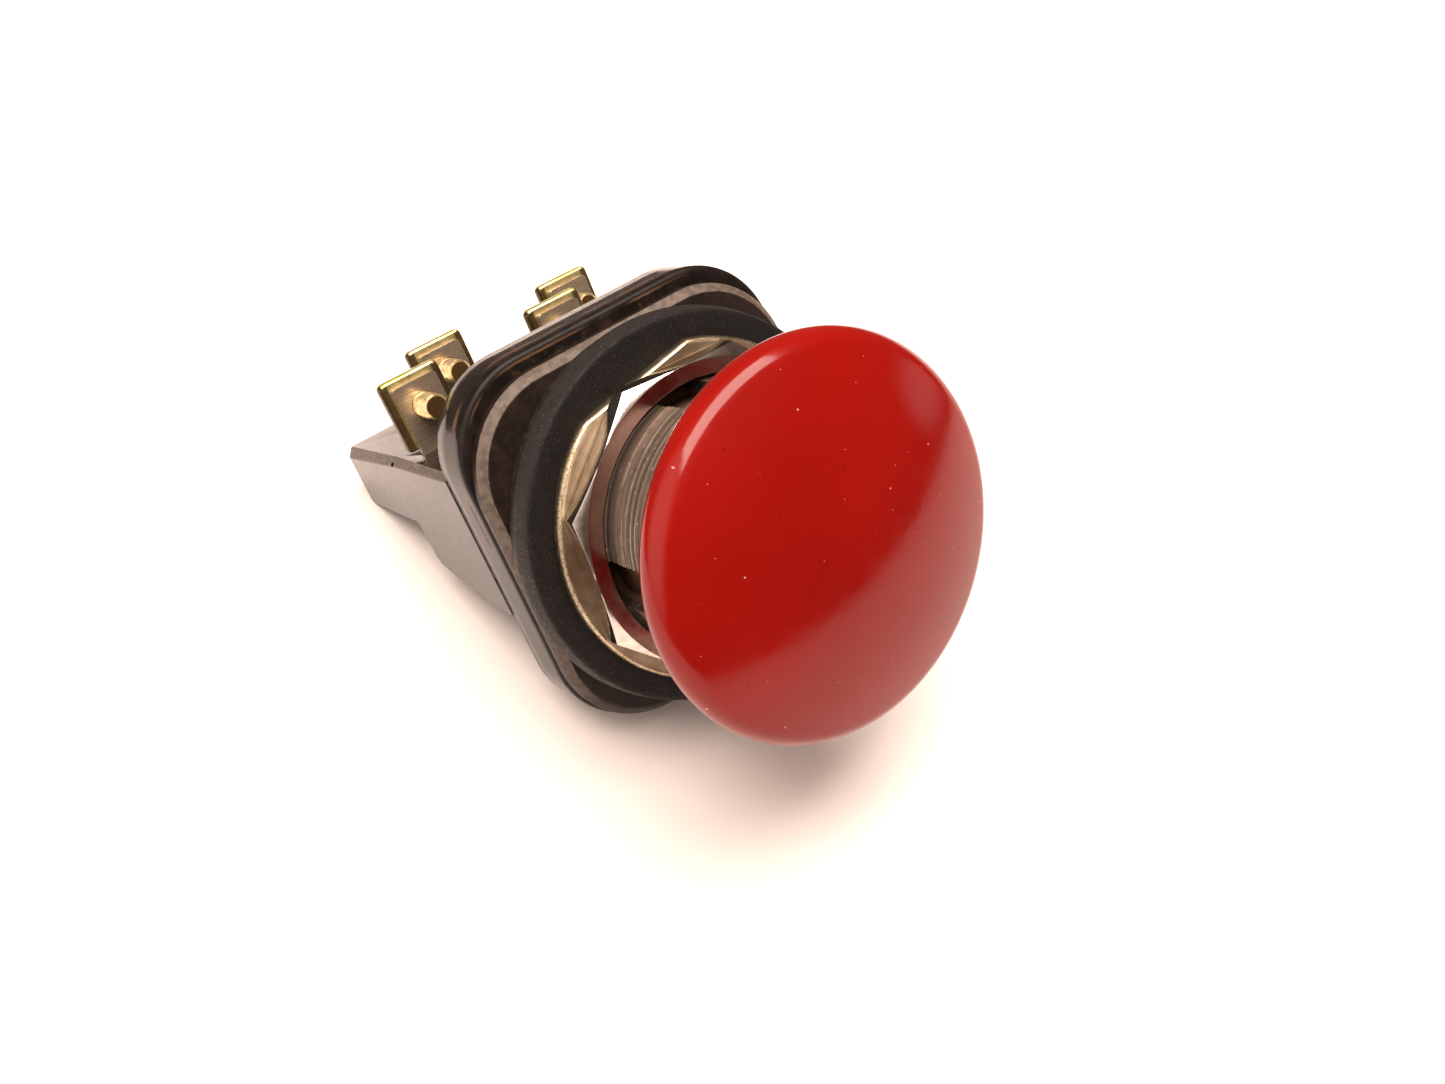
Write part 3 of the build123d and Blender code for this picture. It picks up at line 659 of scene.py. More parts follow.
# painted highlight: up-facing faces pale yellow; painted shade: side-facing flanks dark olive
col = M.mix(M.span(side, 0.56, 0.84), col, M.mix(M.span(M.noise(0.22, 2), 0.4, 0.62), lin(255, 246, 176), lin(250, 240, 108)))
col = M.mix(M.span(side, 0.45, 0.22), col, lin(66, 52, 30))
col = M.mix(M.math("MULTIPLY", M.span(M.noise(1.4, 4, 0.7), 0.55, 0.8), 0.6), col, lin(160, 138, 100))
CLAMP = M.set(col, M.span(M.noise(1.5, 3), 0.3, 0.7, 0.28, 0.38), normal=M.bump(M.noise(2.0, 2), 0.010, 0.3))
M = Mat("strip_brass", lin(190, 168, 140), rough=0.32, metal=0.78, spec=0.5)
streak = M.noise(1.0, 3, co=M.vec("MULTIPLY", M.co, (0.5, 1.0, 3.0)))
col = M.mix(M.span(streak, 0.35, 0.7), lin(196, 178, 154), lin(174, 154, 132))
STRIP = M.set(col, M.span(streak, 0.3, 0.7, 0.24, 0.34), normal=M.bump(streak, 0.006, 0.3))
M = Mat("screw_brass", lin(206, 182, 134), rough=0.26, metal=0.85)
col = M.mix(M.span(M.noise(1.2, 3), 0.4, 0.75), lin(232, 214, 164), lin(190, 156, 106))
# painted shade: the clamp screws' tip end faces darker, where wear_and_facing_light is low
col = M.mix(M.span(M.attr("wear_and_facing_light"), 0.44, 0.16), col, lin(134, 104, 62))
SCREW = M.set(col, M.span(M.noise(2.6, 3), 0.3, 0.7, 0.24, 0.38), normal=M.bump(M.noise(6.0, 3), 0.01, 0.4))

# steel, zinc-plated screws, springs, nylon and contact metals
M = Mat("plated_steel", lin(176, 172, 166), rough=0.3, metal=1.0)
STEEL = M.set(
    M.mix(M.span(M.noise(1.4, 4), 0.4, 0.7), lin(184, 180, 174), lin(126, 118, 108)),
    M.span(M.noise(2.4, 3), 0.3, 0.7, 0.22, 0.42),
    normal=M.bump(M.noise(6.0, 3), 0.02, 0.5),
)
M = Mat("spring_wire", lin(110, 106, 100), rough=0.32, metal=1.0)
SPRING = M.set(
    M.mix(M.span(M.noise(1.8, 4), 0.4, 0.7), lin(128, 124, 118), lin(78, 70, 62)),
    M.span(M.noise(2.4, 3), 0.3, 0.7, 0.24, 0.42),
    normal=M.bump(M.noise(8.0, 3), 0.015, 0.5),
)
M = Mat("nylon_grey", lin(88, 88, 88), rough=0.48, spec=0.45)
NYLON_G = M.set(
    M.mix(M.span(M.noise(0.9, 4), 0.35, 0.7), lin(84, 84, 84), lin(104, 102, 98)),
    M.span(M.noise(2.0, 3), 0.3, 0.7, 0.4, 0.58),
    normal=M.bump(M.noise(4.0, 3), 0.03, 0.5),
)
M = Mat("nylon_white", lin(214, 208, 194), rough=0.42, spec=0.45)
NYLON_W = M.set(
    M.mix(M.span(M.noise(0.9, 4), 0.35, 0.7), lin(216, 210, 196), lin(190, 178, 156)),
    M.span(M.noise(2.0, 3), 0.3, 0.7, 0.36, 0.54),
    normal=M.bump(M.noise(4.0, 3), 0.03, 0.5),
)
M = Mat("contact_silver", lin(222, 220, 214), rough=0.26, metal=1.0)
SILVER = M.set(
    M.mix(M.span(M.noise(3.0, 4), 0.45, 0.7), lin(226, 224, 218), lin(150, 140, 124)),
    M.span(M.noise(4.0, 3), 0.3, 0.7, 0.2, 0.36),
    normal=M.bump(M.noise(9.0, 3), 0.01, 0.5),
)
M = Mat("bridge_copper", lin(190, 130, 92), rough=0.3, metal=1.0)
COPPER = M.set(
    M.mix(M.span(M.noise(1.6, 4), 0.4, 0.7), lin(198, 138, 98), lin(140, 88, 60)),
    M.span(M.noise(2.6, 3), 0.3, 0.7, 0.24, 0.42),
    normal=M.bump(M.noise(6.0, 3), 0.015, 0.5),
)

# ---------------------------------------------------------------- plunger body
HEAD_R, RIM_Y, RIM, DOME = 20.26, -20.37, 2.5, 52.0
half = radians(21.02)
cy = RIM_Y - RIM * cos(half) + DOME * cos(half)
prof = [(0, cy - DOME)]
for k in range(1, 57):
    q = half * k / 56
    prof.append((DOME * sin(q), cy - DOME * cos(q)))
start = atan2(prof[-1][1] - RIM_Y, prof[-1][0] - (HEAD_R - RIM))
for k in range(1, 21):
    q = start + (pi / 2 - start) * k / 20
    prof.append((HEAD_R - RIM + RIM * cos(q), RIM_Y + RIM * sin(q)))
under = rounded(
    [(17.76, -17.87), (16.95, -17.87), (16.3, -18.9), (9.4, -18.9), (8.0, -17.6), (8.0, -13.0), (4.02, -13.0), (4.02, -21.9), (0, -21.9)],
    [0, 0.25, 0.5, 0.4, 0.5, 0.35, 0.2, 0.2, 0],
    4,
    closed=False,
)
head = lathe("head_dome", prof + under[1:], 220, sharp=40)
give(head, RED)
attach(head, "plunger")
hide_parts("mushroom_head")

insert = lathe("threaded_insert", rounded([(3.02, -21.78), (3.98, -21.78), (3.98, -13.02), (3.3, -13.02), (3.02, -13.3)], 0.08, 2), 64)
give(insert, SCREW)
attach(insert, "plunger")
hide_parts("head_insert")

stem_prof = [(0, -21.38), (2.5, -21.38), (2.96, -20.9), (2.96, -12.95), (3.98, -12.95), (3.98, 7.52), (3.22, 7.52), (3.22, 8.38), (3.98, 8.38), (3.98, 10.8), (3.5, 11.28), (0, 11.28)]
stem = lathe("push_stem", rounded(stem_prof, [0, 0.1, 0.1, 0.05, 0.1, 0.05, 0.05, 0.05, 0.05, 0.1, 0.1, 0], 2, closed=False), 72)
give(stem, STEEL)
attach(stem, "plunger")
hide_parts("plunger_stem")

guide = lathe(
    "guide_collar",
    rounded([(4.04, -12.93), (8.28, -12.93), (8.28, -11.62), (10.88, -11.62), (10.88, -6.42), (9.2, -6.42), (9.2, -8.28), (5.4, -8.28), (5.4, -6.42), (4.04, -6.42)], [0.2, 0.35, 0.2, 0.35, 0.25, 0.15, 0.15, 0.15, 0.15, 0.2], 4),
    120,
)
give(guide, NYLON_G)
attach(guide, "plunger")
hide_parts("plunger_guide")

# open retaining ring with ears either side of its gap
outline = []
gap = radians(21)
for k in range(61):
    q = -pi / 2 + gap + (2 * pi - 2 * gap) * k / 60
    outline.append((6.18 * cos(q), 6.18 * sin(q)))
gap_in = radians(38)
for k in range(61):
    q = -pi / 2 + 2 * pi - gap_in - (2 * pi - 2 * gap_in) * k / 60
    outline.append((3.27 * cos(q), 3.27 * sin(q)))
clip = prism_y("retaining_clip", outline, 7.57, 8.33, 0.08, 2)
give(clip, SPRING)
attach(clip, "plunger")
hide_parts("retaining_ring")

plate = prism_y("actuator_plate_piece", rrect(13.0, 11.5, 3.0, 8, 8), 8.52, 10.98)
cut(plate, [
    prism_y("t", [(x * 4.03, z * 4.03) for x, z in [(cos(2 * pi * k / 64), sin(2 * pi * k / 64)) for k in range(64)]], 7, 12),
    prism_y("t", rrect(4.5, 1.8, 0.6, 4, 5, 0, 9.4), 10.6, 12),
    prism_y("t", rrect(4.5, 1.8, 0.6, 4, 5, 0, -9.4), 10.6, 12),
])
soften(plate, 0.3, 3)
give(plate, NYLON_W)
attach(plate, "plunger")
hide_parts("actuator_plate")

# ---------------------------------------------------------------- operator: bushing and flange
PITCH, TOOTH, KEY_HALF, KEY_R, BUSH_R = 1.0, 0.34, 2.8, 12.8, 14.9
NSEC, NFLOOR = 46, 7


def ring_points(y, r_of, keyed):
    """A ring with parallel-sided keyways at 0, 90, 180 and 270 degrees; r_of(angle) is its radius between them."""
    pts = []
    for q in range(4):
        mid = q * pi / 2
        c, s = cos(mid), sin(mid)

        def put(u, v):  # u along the keyway's own direction, v across it
            pts.append((u * c - v * s, y, u * s + v * c))

        if keyed:
            low = sqrt(KEY_R**2 - KEY_HALF**2)
            for k in range(NFLOOR + 2):
                v = -KEY_HALF + 2 * KEY_HALF * k / (NFLOOR + 1)
                put(sqrt(KEY_R**2 - v * v), v)
            r = r_of(mid + asin(KEY_HALF / BUSH_R))
            put(sqrt(r * r - KEY_HALF**2), KEY_HALF)
            a0 = asin(KEY_HALF / r)
        else:
            w0 = radians(10.2)
            for k in range(NFLOOR + 2):
                q2 = mid - w0 + 2 * w0 * k / (NFLOOR + 1)
                r = r_of(q2)
                pts.append((r * cos(q2), y, r * sin(q2)))
            a0 = radians(11.5)
            r = r_of(mid + a0)
            pts.append((r * cos(mid + a0), y, r * sin(mid + a0)))
        for k in range(1, NSEC):
            q2 = mid + a0 + (pi / 2 - 2 * a0) * k / NSEC
            r = r_of(q2)
            pts.append((r * cos(q2), y, r * sin(q2)))
        nxt = mid + pi / 2
        if keyed:
            r = r_of(nxt - asin(KEY_HALF / BUSH_R))
            c2, s2 = cos(nxt), sin(nxt)
            u, v = sqrt(r * r - KEY_HALF**2), -KEY_HALF
            pts.append((u * c2 - v * s2, y, u * s2 + v * c2))
        else:
            r = r_of(nxt - a0)
            pts.append((r * cos(nxt - a0), y, r * sin(nxt - a0)))
    return pts


def rr_radius(hx, hz, r):
    """Polar radius of a rounded rectangle."""
    def f(a):
        c, s = abs(cos(a)), abs(sin(a))
        best = min(hx / c if c > 1e-9 else 1e9, hz / s if s > 1e-9 else 1e9)
        px, pz = best * c, best * s
        if px > hx - r and pz > hz - r:
            cx, cz = hx - r, hz - r
            b = cx * c + cz * s
            d = b * b - (cx * cx + cz * cz - r * r)
            best = b + sqrt(max(d, 0))
        return best
    return f


def thread(y, angle):
    u = ((y + 12.4) / PITCH - angle / (2 * pi)) % 1.0
    tri = 1 - abs(2 * u - 1)
    tri = min(max((tri - 0.10) / 0.80, 0.0), 1.0)
    # worn down beside the nut, deeper and uneven from turn to turn toward the open end
    if y > -3.6:
        return TOOTH * (1 - tri)
    u2 = min(max((-y - 6.0) / 3.4, 0.0), 1.0)
    turn_no = floor((y + 12.4) / PITCH - angle / (2 * pi))
    uneven = 0.35 + 1.1 * ((sin(turn_no * 12.9898 + 4.1) * 43758.5453) % 1.0)
    depth = 0.04 + (0.18 * uneven - 0.04) * u2 * u2 * (3 - 2 * u2)
    u3 = min(max((-y - 4.5) / 1.5, 0.0), 1.0)
    worn_off = 0.18 - 0.09 * u3 * u3 * (3 - 2 * u3)
    return min(worn_off * (1 - 0.6 * u2) + depth * (1 - tri), TOOTH)


loops, wear_and_facing_light, rmat = [], [], []


def put_ring(points, w=0.0, mat=0):
    loops.append(points)
    wear_and_facing_light.append(w)
    rmat.append(mat)


const = lambda r: (lambda a: r)
# bore, from the web forward to the front face
put_ring(ring_points(3.9, const(4.05), False))
put_ring(ring_points(3.9, const(10.95), False))
put_ring(ring_points(-11.75, const(10.95), False))
put_ring(ring_points(-11.75, const(12.3), False))
put_ring(ring_points(-12.32, const(12.3), False))
put_ring(ring_points(-12.4, const(12.38), False))
put_ring(ring_points(-12.4, const(14.05), True))
y = -12.4
while y < -0.05:
    lead = min((y + 12.4) / 0.7, 1.0)
    cap = BUSH_R - 0.7 * (1 - lead) - 0.02
    put_ring(ring_points(y + 0.001, (lambda a, y=y, cap=cap: min(cap, BUSH_R - thread(y, a))), True))
    y += PITCH / 9
put_ring(ring_points(-0.03, (lambda a: BUSH_R - thread(-0.03, a)), True))
put_ring(ring_points(-0.02, (lambda a: BUSH_R - thread(-0.02, a)), False))
y = 0.08
while y < 5.0:
    put_ring(ring_points(y, (lambda a, y=y: BUSH_R - thread(y, a)), False))
    y += PITCH / 5
put_ring(ring_points(5.3, const(BUSH_R), False))
put_ring(ring_points(5.44, const(BUSH_R), False))
put_ring(ring_points(5.54, const(BUSH_R + 0.1), False), 0.0, 1)
fl = rr_radius(20.86 - 0.86, 21.35 - 0.86, 11.2 - 0.86)
fl_out = rr_radius(20.86, 21.35, 11.2)
put_ring(ring_points(5.54, (lambda a: (BUSH_R + 0.1 + fl(a)) / 2), False), 0.0, 1)
put_ring(ring_points(5.54, (lambda a: fl(a) - 0.75), False), 0.0, 1)
put_ring(ring_points(5.54, (lambda a: fl(a) - 0.30), False), 0.12, 1)
put_ring(ring_points(5.545, (lambda a: fl(a) - 0.06), False), 0.52, 1)
put_ring(ring_points(5.60, (lambda a: fl(a) + 0.05), False), 1.0, 1)
put_ring(ring_points(6.36, (lambda a: fl_out(a) - 0.05), False), 1.0, 1)
put_ring(ring_points(6.44, fl_out, False), 0.55, 1)
put_ring(ring_points(6.75, fl_out, False), 0.2, 1)
put_ring(ring_points(7.52, fl_out, False), 0.15, 1)
put_ring(ring_points(7.58, (lambda a: fl_out(a) - 0.06), False), 0.1, 1)
put_ring(ring_points(7.58, const(16.0), False), 0.0, 1)
put_ring(ring_points(8.28, const(16.0), False), 0.0, 1)
put_ring(ring_points(8.28, const(7.6), False), 0.0, 0)
put_ring(ring_points(7.44, const(7.6), False))
put_ring(ring_points(7.44, const(4.05), False))
housing = rings("bushing_and_flange", loops, closed=True, sharp=34, attrs={"wear_and_facing_light": wear_and_facing_light}, ring_mats=rmat)
give(housing, BUSH, FLANGE)
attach(housing, "operator")
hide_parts("operator_housing")

# ring nut: octagon with a 30 degree turned face
CORNER, APO = 18.35, 18.35 * cos(pi / 8)
NCOL = 8 * 24


def oct_r(a):
    k = (a - radians(108.3)) % (pi / 4)
    return APO / cos(k - pi / 8)


angles = [radians(108.3) + 2 * pi * k / NCOL for k in range(NCOL)]


def nut_ring(r_of, y_of):
    return [(r_of(a) * cos(a), y_of(a), r_of(a) * sin(a)) for a in angles]


cone = lambda r: -4.03 + (r - 16.88) * 0.5034
dish = lambda r: -4.17 + (r - 15.36) * 0.095
nut_loops = [
    nut_ring(const(15.02), const(-1.38)),
    nut_ring(const(15.02), const(-3.62)),
    nut_ring(const(15.3), const(-4.14)),
    nut_ring(const(15.36), const(-4.17)),
    nut_ring(const(15.40), const(dish(15.40))),
    nut_ring(const(16.1), const(dish(16.1))),
    nut_ring(const(16.79), const(dish(16.79))),
    nut_ring(const(16.83), const(dish(16.83))),
    nut_ring(const(16.89), const(cone(16.89))),
    nut_ring(lambda a: min(max(oct_r(a) - 0.12, 16.90), 16.94), lambda a: cone(min(max(oct_r(a) - 0.12, 16.90), 16.94))),
    nut_ring(lambda a: max(oct_r(a) - 0.10, 16.945), lambda a: cone(max(oct_r(a) - 0.10, 16.945))),
    nut_ring(lambda a: oct_r(a) - 0.015, lambda a: cone(oct_r(a)) + 0.035),
    nut_ring(oct_r, lambda a: cone(oct_r(a)) + 0.13),
    nut_ring(oct_r, const(-1.5)),
    nut_ring(lambda a: oct_r(a) - 0.1, const(-1.38)),
]
nut = rings("octagon_nut", nut_loops, closed=True, sharp=24)
give(nut, NUT)
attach(nut, "operator")
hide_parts("mounting_nut")

# trim washer with one flat and a rounded, slightly raised rim
NW = 240


def wash_r(a):
    c = cos(a - radians(99.3))
    return min(18.87, 17.4 / c) if c > 0.2 else 18.87


wang = [2 * pi * k / NW for k in range(NW)]


def wash_ring(off, y, wobble=0.0):
    out = []
    for a in wang:
        r = wash_r(a) - off
        if wobble:
            r += wobble * (mnoise.noise(Vector((cos(a) * 40, sin(a) * 40, 0.3))))
        out.append((r * cos(a), y, r * sin(a)))
    return out


washer = rings("trim_washer_piece", [
    [(15.06 * cos(a), -0.01, 15.06 * sin(a)) for a in wang],
    [(15.06 * cos(a), -1.32, 15.06 * sin(a)) for a in wang],
    [(15.14 * cos(a), -1.35, 15.14 * sin(a)) for a in wang],
    wash_ring(0.95, -1.30),
    wash_ring(0.50, -1.34),
    wash_ring(0.36, -1.35),
    wash_ring(0.22, -1.26, 0.02),
    wash_ring(0.07, -1.05, 0.03),
    wash_ring(0.03, -0.75, 0.02),
    wash_ring(0.02, -0.20),
    wash_ring(0.12, -0.01),
], closed=True, sharp=30)
give(washer, WASHER)
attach(washer, "operator")
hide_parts("trim_washer")

# gaskets
NG = 260
gang = [2 * pi * k / NG for k in range(NG)]


def soft_ring(r, y, amp=0.0, seed=0.0, freq=3.0):
    out = []
    for a in gang:
        d = amp * mnoise.noise(Vector((cos(a) * freq, sin(a) * freq, seed)))
        out.append(((r + d) * cos(a), y, (r + d) * sin(a)))
    return out


gasket = rings("panel_gasket_ring", [
    soft_ring(15.08, 0.01), soft_ring(18.9, 0.01), soft_ring(20.9, 0.02), soft_ring(21.35, 0.05, 0.03, 1),
    soft_ring(21.56, 0.16, 0.04, 1, 9), soft_ring(21.68, 0.36, 0.05, 1, 9), soft_ring(21.80, 0.9, 0.04, 2), soft_ring(21.95, 1.7, 0.03, 3),
    soft_ring(22.05, 2.45, 0.02, 4), soft_ring(22.03, 2.62, 0.02, 4), soft_ring(21.9, 2.70), soft_ring(15.08, 2.70),
], closed=True, sharp=45)
give(gasket, GASKET)
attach(gasket, "operator")
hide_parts("panel_gasket")

spacer = rings("spacer_gasket_ring", [
    soft_ring(15.08, 2.74), soft_ring(21.1, 2.74), soft_ring(21.2, 2.84), soft_ring(21.27, 3.3, 0.02, 5, 6), soft_ring(21.22, 4.2, 0.03, 6, 6),
    soft_ring(21.27, 5.1, 0.02, 7, 6), soft_ring(21.2, 5.4), soft_ring(21.1, 5.52), soft_ring(15.08, 5.52),
], closed=True, sharp=45)
give(spacer, SPACER)
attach(spacer, "operator")
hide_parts("spacer_gasket")

seal = lathe("shaft_seal_ring", rounded(
    [(8.62, -12.7), (9.1, -12.71), (9.38, -12.33), (12.26, -12.33), (12.26, -11.8), (8.62, -11.8)],
    [0.15, 0.12, 0.12, 0.1, 0.1, 0.15], 4), 140)
give(seal, SEAL)
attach(seal, "operator")
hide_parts("shaft_seal")

spring = coil("head_return_spring", 0, 0, -8.25, 3.86, 7.5, 1.3, 5.5, 0.9, 40, 12)
give(spring, SPRING)
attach(spring, "operator")
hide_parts("return_spring")
bake(spring, 50)
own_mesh(spring)

# ---------------------------------------------------------------- operator base
FR, RE = 7.62, 14.09
o_out = rrect(21.04, 22.28, 10.5, 16, 22, 0.0, 0.91)
nb = len(o_out)


def base_loop(inset, y):
    return [(x, y, z) for x, z in rrect(21.04 - inset, 22.28 - inset, 10.5 - inset, 16, 22, 0.0, 0.91)]


def circ_loop(r, y):
    out = []
    for x, z in o_out:
        a = atan2(z, x)
        out.append((r * cos(a), y, r * sin(a)))
    return out


def chamber_loop(h, v, r, y):
    f = rr_radius(h, v, r)
    out = []
    for x, z in o_out:
        a = atan2(z, x)
        out.append((f(a) * cos(a), y, f(a) * sin(a)))
    return out


bl, bw = [], []
for loop, w in (
    (circ_loop(16.04, FR), 0.6),
    (circ_loop(18.5, FR), 0.8),
    (base_loop(0.95, FR), 1.0),
    (base_loop(0.78, FR + 0.005), 0.8),
    (base_loop(0.54, FR + 0.045), 0.3),
    (base_loop(0.33, FR + 0.13), 0.1),
    (base_loop(0.16, FR + 0.27), 0.1),
    (base_loop(0.05, FR + 0.48), 0.2),
    (base_loop(0.0, FR + 0.78), 0.1),
    (base_loop(0.0, FR + 1.5), 0.35),
    (base_loop(0.0, FR + 2.1), 0.75),
    (base_loop(0.0, FR + 2.8), 0.35),
    (base_loop(0.0, FR + 4.2), 0.0),
    (base_loop(0.0, RE - 0.10), 0.0),
    (base_loop(0.03, RE - 0.03), 0.0),
    (base_loop(0.10, RE), 0.0),
    (chamber_loop(14.5, 13.0, 3.5, RE), 0.0),
    (chamber_loop(14.5, 13.0, 3.5, 8.34), 0.0),
    (circ_loop(12.0, 8.34), 0.0),
):
    bl.append(loop)
    bw.append(w)
# the chamber breaks through to the barrel of the housing
bl[-1] = circ_loop(11.8, 8.34)
bl.append(circ_loop(11.8, 8.30))
bw.append(0.0)
bl.append(circ_loop(16.04, 8.30))
bw.append(0.0)
base = rings("operator_base_piece", bl, closed=True, sharp=38, attrs={"wear_and_facing_light": bw})
tools = []
for z in (17.5, -17.5):
    tools.append(prism_y("t", [(1.65 * cos(2 * pi * k / 40), z + 1.65 * sin(2 * pi * k / 40)) for k in range(40)], 7, 12))
    tools.append(prism_y("t", [(3.0 * cos(2 * pi * k / 56), z + 3.0 * sin(2 * pi * k / 56)) for k in range(56)], 11.69, 15))
for x in (17.6, -17.6):
    for z in (8.4, -8.4):
        tools.append(prism_y("t", [(x + 1.7 * cos(2 * pi * k / 40), z + 1.7 * sin(2 * pi * k / 40)) for k in range(40)], 9.09, 15))
cut(base, tools, sharp=38)
give(base, BASE)
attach(base, "operator")
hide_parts("operator_base")


def machine_screw(name, x, z, y_tip, y_head, y_top, r_shank, r_head, pitch, cross=(), slot_w=0.9, depth=1.0, dome=0.35, tip=0.4):
    """A screw along Y whose head is at the rear: threaded shank, chamfered tip, domed head with a slot or a cross."""
    n, lp = 40, []
    steps = 7
    yy = y_tip
    tooth = pitch * 0.32
    while yy < y_head - 0.01:
        lead = min((yy - y_tip) / tip, 1.0)
        cap = r_shank - tip * 0.8 * (1 - lead)
        ring = []
        for k in range(n):
            a = 2 * pi * k / n
            u = ((yy - y_tip) / pitch - a / (2 * pi)) % 1.0
            tri = 1 - abs(2 * u - 1)
            r = min(cap, r_shank - tooth * (1 - tri))
            ring.append((x + r * cos(a), yy, z + r * sin(a)))
        lp.append(ring)
        yy += pitch / steps
    lp.append(circle(r_shank - tooth * 0.5, y_head, n, x, z))
    shank = rings(name + "_shank", lp, closed=False, cap_start=True, cap_end=True, sharp=45)
    e = 0.35
    hp = [(0, y_head)]
    hp += rounded([(0, y_head), (r_head, y_head), (r_head, y_top - dome), (r_head * 0.6, y_top - dome * 0.2), (0, y_top)], [0, 0.12, e, 1.5, 0], 5, closed=False)[1:]
    headp = lathe(name + "_head", hp, 56, x, z, sharp=40)
    tools = [block("t", x - w / 2, x + w / 2, y_top - depth, y_top + 1, z - h / 2, z + h / 2) for w, h in cross]
    cut(headp, tools, sharp=40)
    soften(headp, 0.07, 2, 40)
    return [shank, headp]


parts = []
for z in (17.5, -17.5):
    parts += machine_screw("bs", 0, z, 6.2, 11.70, 13.9, 1.48, 2.88, 0.6, ((6.4, 0.9), (0.9, 3.2)), depth=1.0)
for p in parts:
    give(p, STEEL)
screws = join("base_screw_pair", parts)
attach(screws, "operator")
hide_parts("base_screws")

# ---------------------------------------------------------------- contact block
TOP = ((14.12, 13.10), (31.0, 12.75), (51.0, 11.50))
body_prof = rounded(
    [(14.14, -4.5), (20.3, -4.2), (28.1, -2.7), (32.4, -1.4), (33.2, -0.4), (33.3, 4.3), (33.8, 4.6), (50.5, 4.6), (50.98, 5.1), (50.98, 11.49), (31.0, 12.74), (14.14, 13.09)],
    [0.25, 3, 6, 0.8, 0.5, 0.3, 0.4, 0.4, 0.4, 0.15, 3, 0.1],
    4,
)
body = prism_x("contact_block_body", body_prof, -21.08, 21.08)
cut(body, [
    block("t", -14.2, 14.2, 18.2, 47.2, 6.6, 14.5),
    block("t", -14.2, 14.2, 18.2, 29.6, -2.0, 8.0),
    block("t", -13.3, 13.3, 13.0, 15.8, -6.0, 11.8),
    block("t", -3.55, 3.55, 14.0, 19.2, 7.35, 11.45),
])
tools = []
for x in (17.6, -17.6):
    tools.append(prism_y("t", [(x + 1.75 * cos(2 * pi * k / 40), 8.4 + 1.75 * sin(2 * pi * k / 40)) for k in range(40)], 13, 52))
    tools.append(prism_y("t", [(x + 2.45 * cos(2 * pi * k / 56), 8.4 + 2.45 * sin(2 * pi * k / 56)) for k in range(56)], 48.6, 52))
cut(body, tools)
soften(body, 0.14, 3, 35)
give(body, BLOCK)
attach(body, "operator")
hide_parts("block_body")

# cover: thin top plate with both long edges chamfered over its full thickness
cov_low = [(14.14, 13.12), (31.0, 12.77), (50.98, 11.52)]
cov_top = [(14.14, 13.89), (31.0, 13.74), (50.55, 12.89), (50.98, 12.48)]
verts, faces = [], []
prof_low = [cov_low[0], cov_low[1], cov_low[2], (50.98, 11.53)]
cols = []
for (yl, zl), (yt, zt) in zip(prof_low, cov_top):
    inset = min(0.85, (zt - zl) * 0.85)
    cols.append([(-21.08, yl, zl), (-21.08, yl, zl + 0.06), (-21.08 + inset, yt, zt), (21.08 - inset, yt, zt), (21.08, yl, zl + 0.06), (21.08, yl, zl)])
m = 6
for c in cols:
    verts += c
for i in range(len(cols) - 1):
    for k in range(m):
        faces.append((i * m + k, i * m + (k + 1) % m, (i + 1) * m + (k + 1) % m, (i + 1) * m + k))
faces.append(tuple(range(m)))
faces.append(tuple(range((len(cols) - 1) * m, len(cols) * m)))
cover = from_lists("contact_block_cover", verts, faces, 20)
give(cover, BLOCK, CHAMFER)
FT_X, RT_X, FT_Y, RT_Y = (-16.0, 4.2), (-8.2, 11.4), 25.2, 35.7
tools = [block("t", x - 2.85, x + 2.85, FT_Y - 0.05, FT_Y + 1.05, 11, 15) for x in FT_X]
tools += [block("t", x - 2.85, x + 2.85, RT_Y - 0.05, RT_Y + 1.05, 11, 15) for x in RT_X]
# a small chip in the visible long edge
chip = block("t", -22.0, -20.75, 31.6, 32.5, 12.3, 13.15)
cut(cover, tools + [chip], sharp=20)
for p in cover.data.polygons:
    n = p.normal
    if abs(n.x) > 0.35 and n.z > 0.35:
        p.material_index = 1
soften(cover, 0.06, 2, 25)
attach(cover, "operator")
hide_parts("block_cover")

parts = []
for x in (17.6, -17.6):
    parts += machine_screw("ks", x, 8.4, 9.4, 48.6, 50.78, 1.66, 2.38, 0.7, ((6.0, 0.8),), depth=1.0)
for p in parts:
    give(p, STEEL)
screws = join("block_screw_pair", parts)
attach(screws, "operator")
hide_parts("block_screws")

# terminals
def strip(name, node, x, y, z_low, leg, extra=None):
    s = prism_y(name, rounded([(x - 2.8, z_low), (x + 2.8, z_low), (x + 2.8, 22.1), (x - 2.8, 22.1)], [0, 0, 0.5, 0.5], 4), y, y + 0.99)
    if leg:
        l = prism_y("leg", leg, y, y + 0.99)
        cut(s, [l], "UNION")
    tools = [prism_y("t", [(x + 1.57 * cos(2 * pi * k / 40), 19.0 + 1.57 * sin(2 * pi * k / 40)) for k in range(40)], y - 1, y + 2)]
    if extra:
        tools.append(prism_y("t", extra, y - 1, y + 2))
    cut(s, tools)
    soften(s, 0.13, 3, 35)
    give(s, STRIP)
    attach(s, "operator")
    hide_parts(node)
    return s


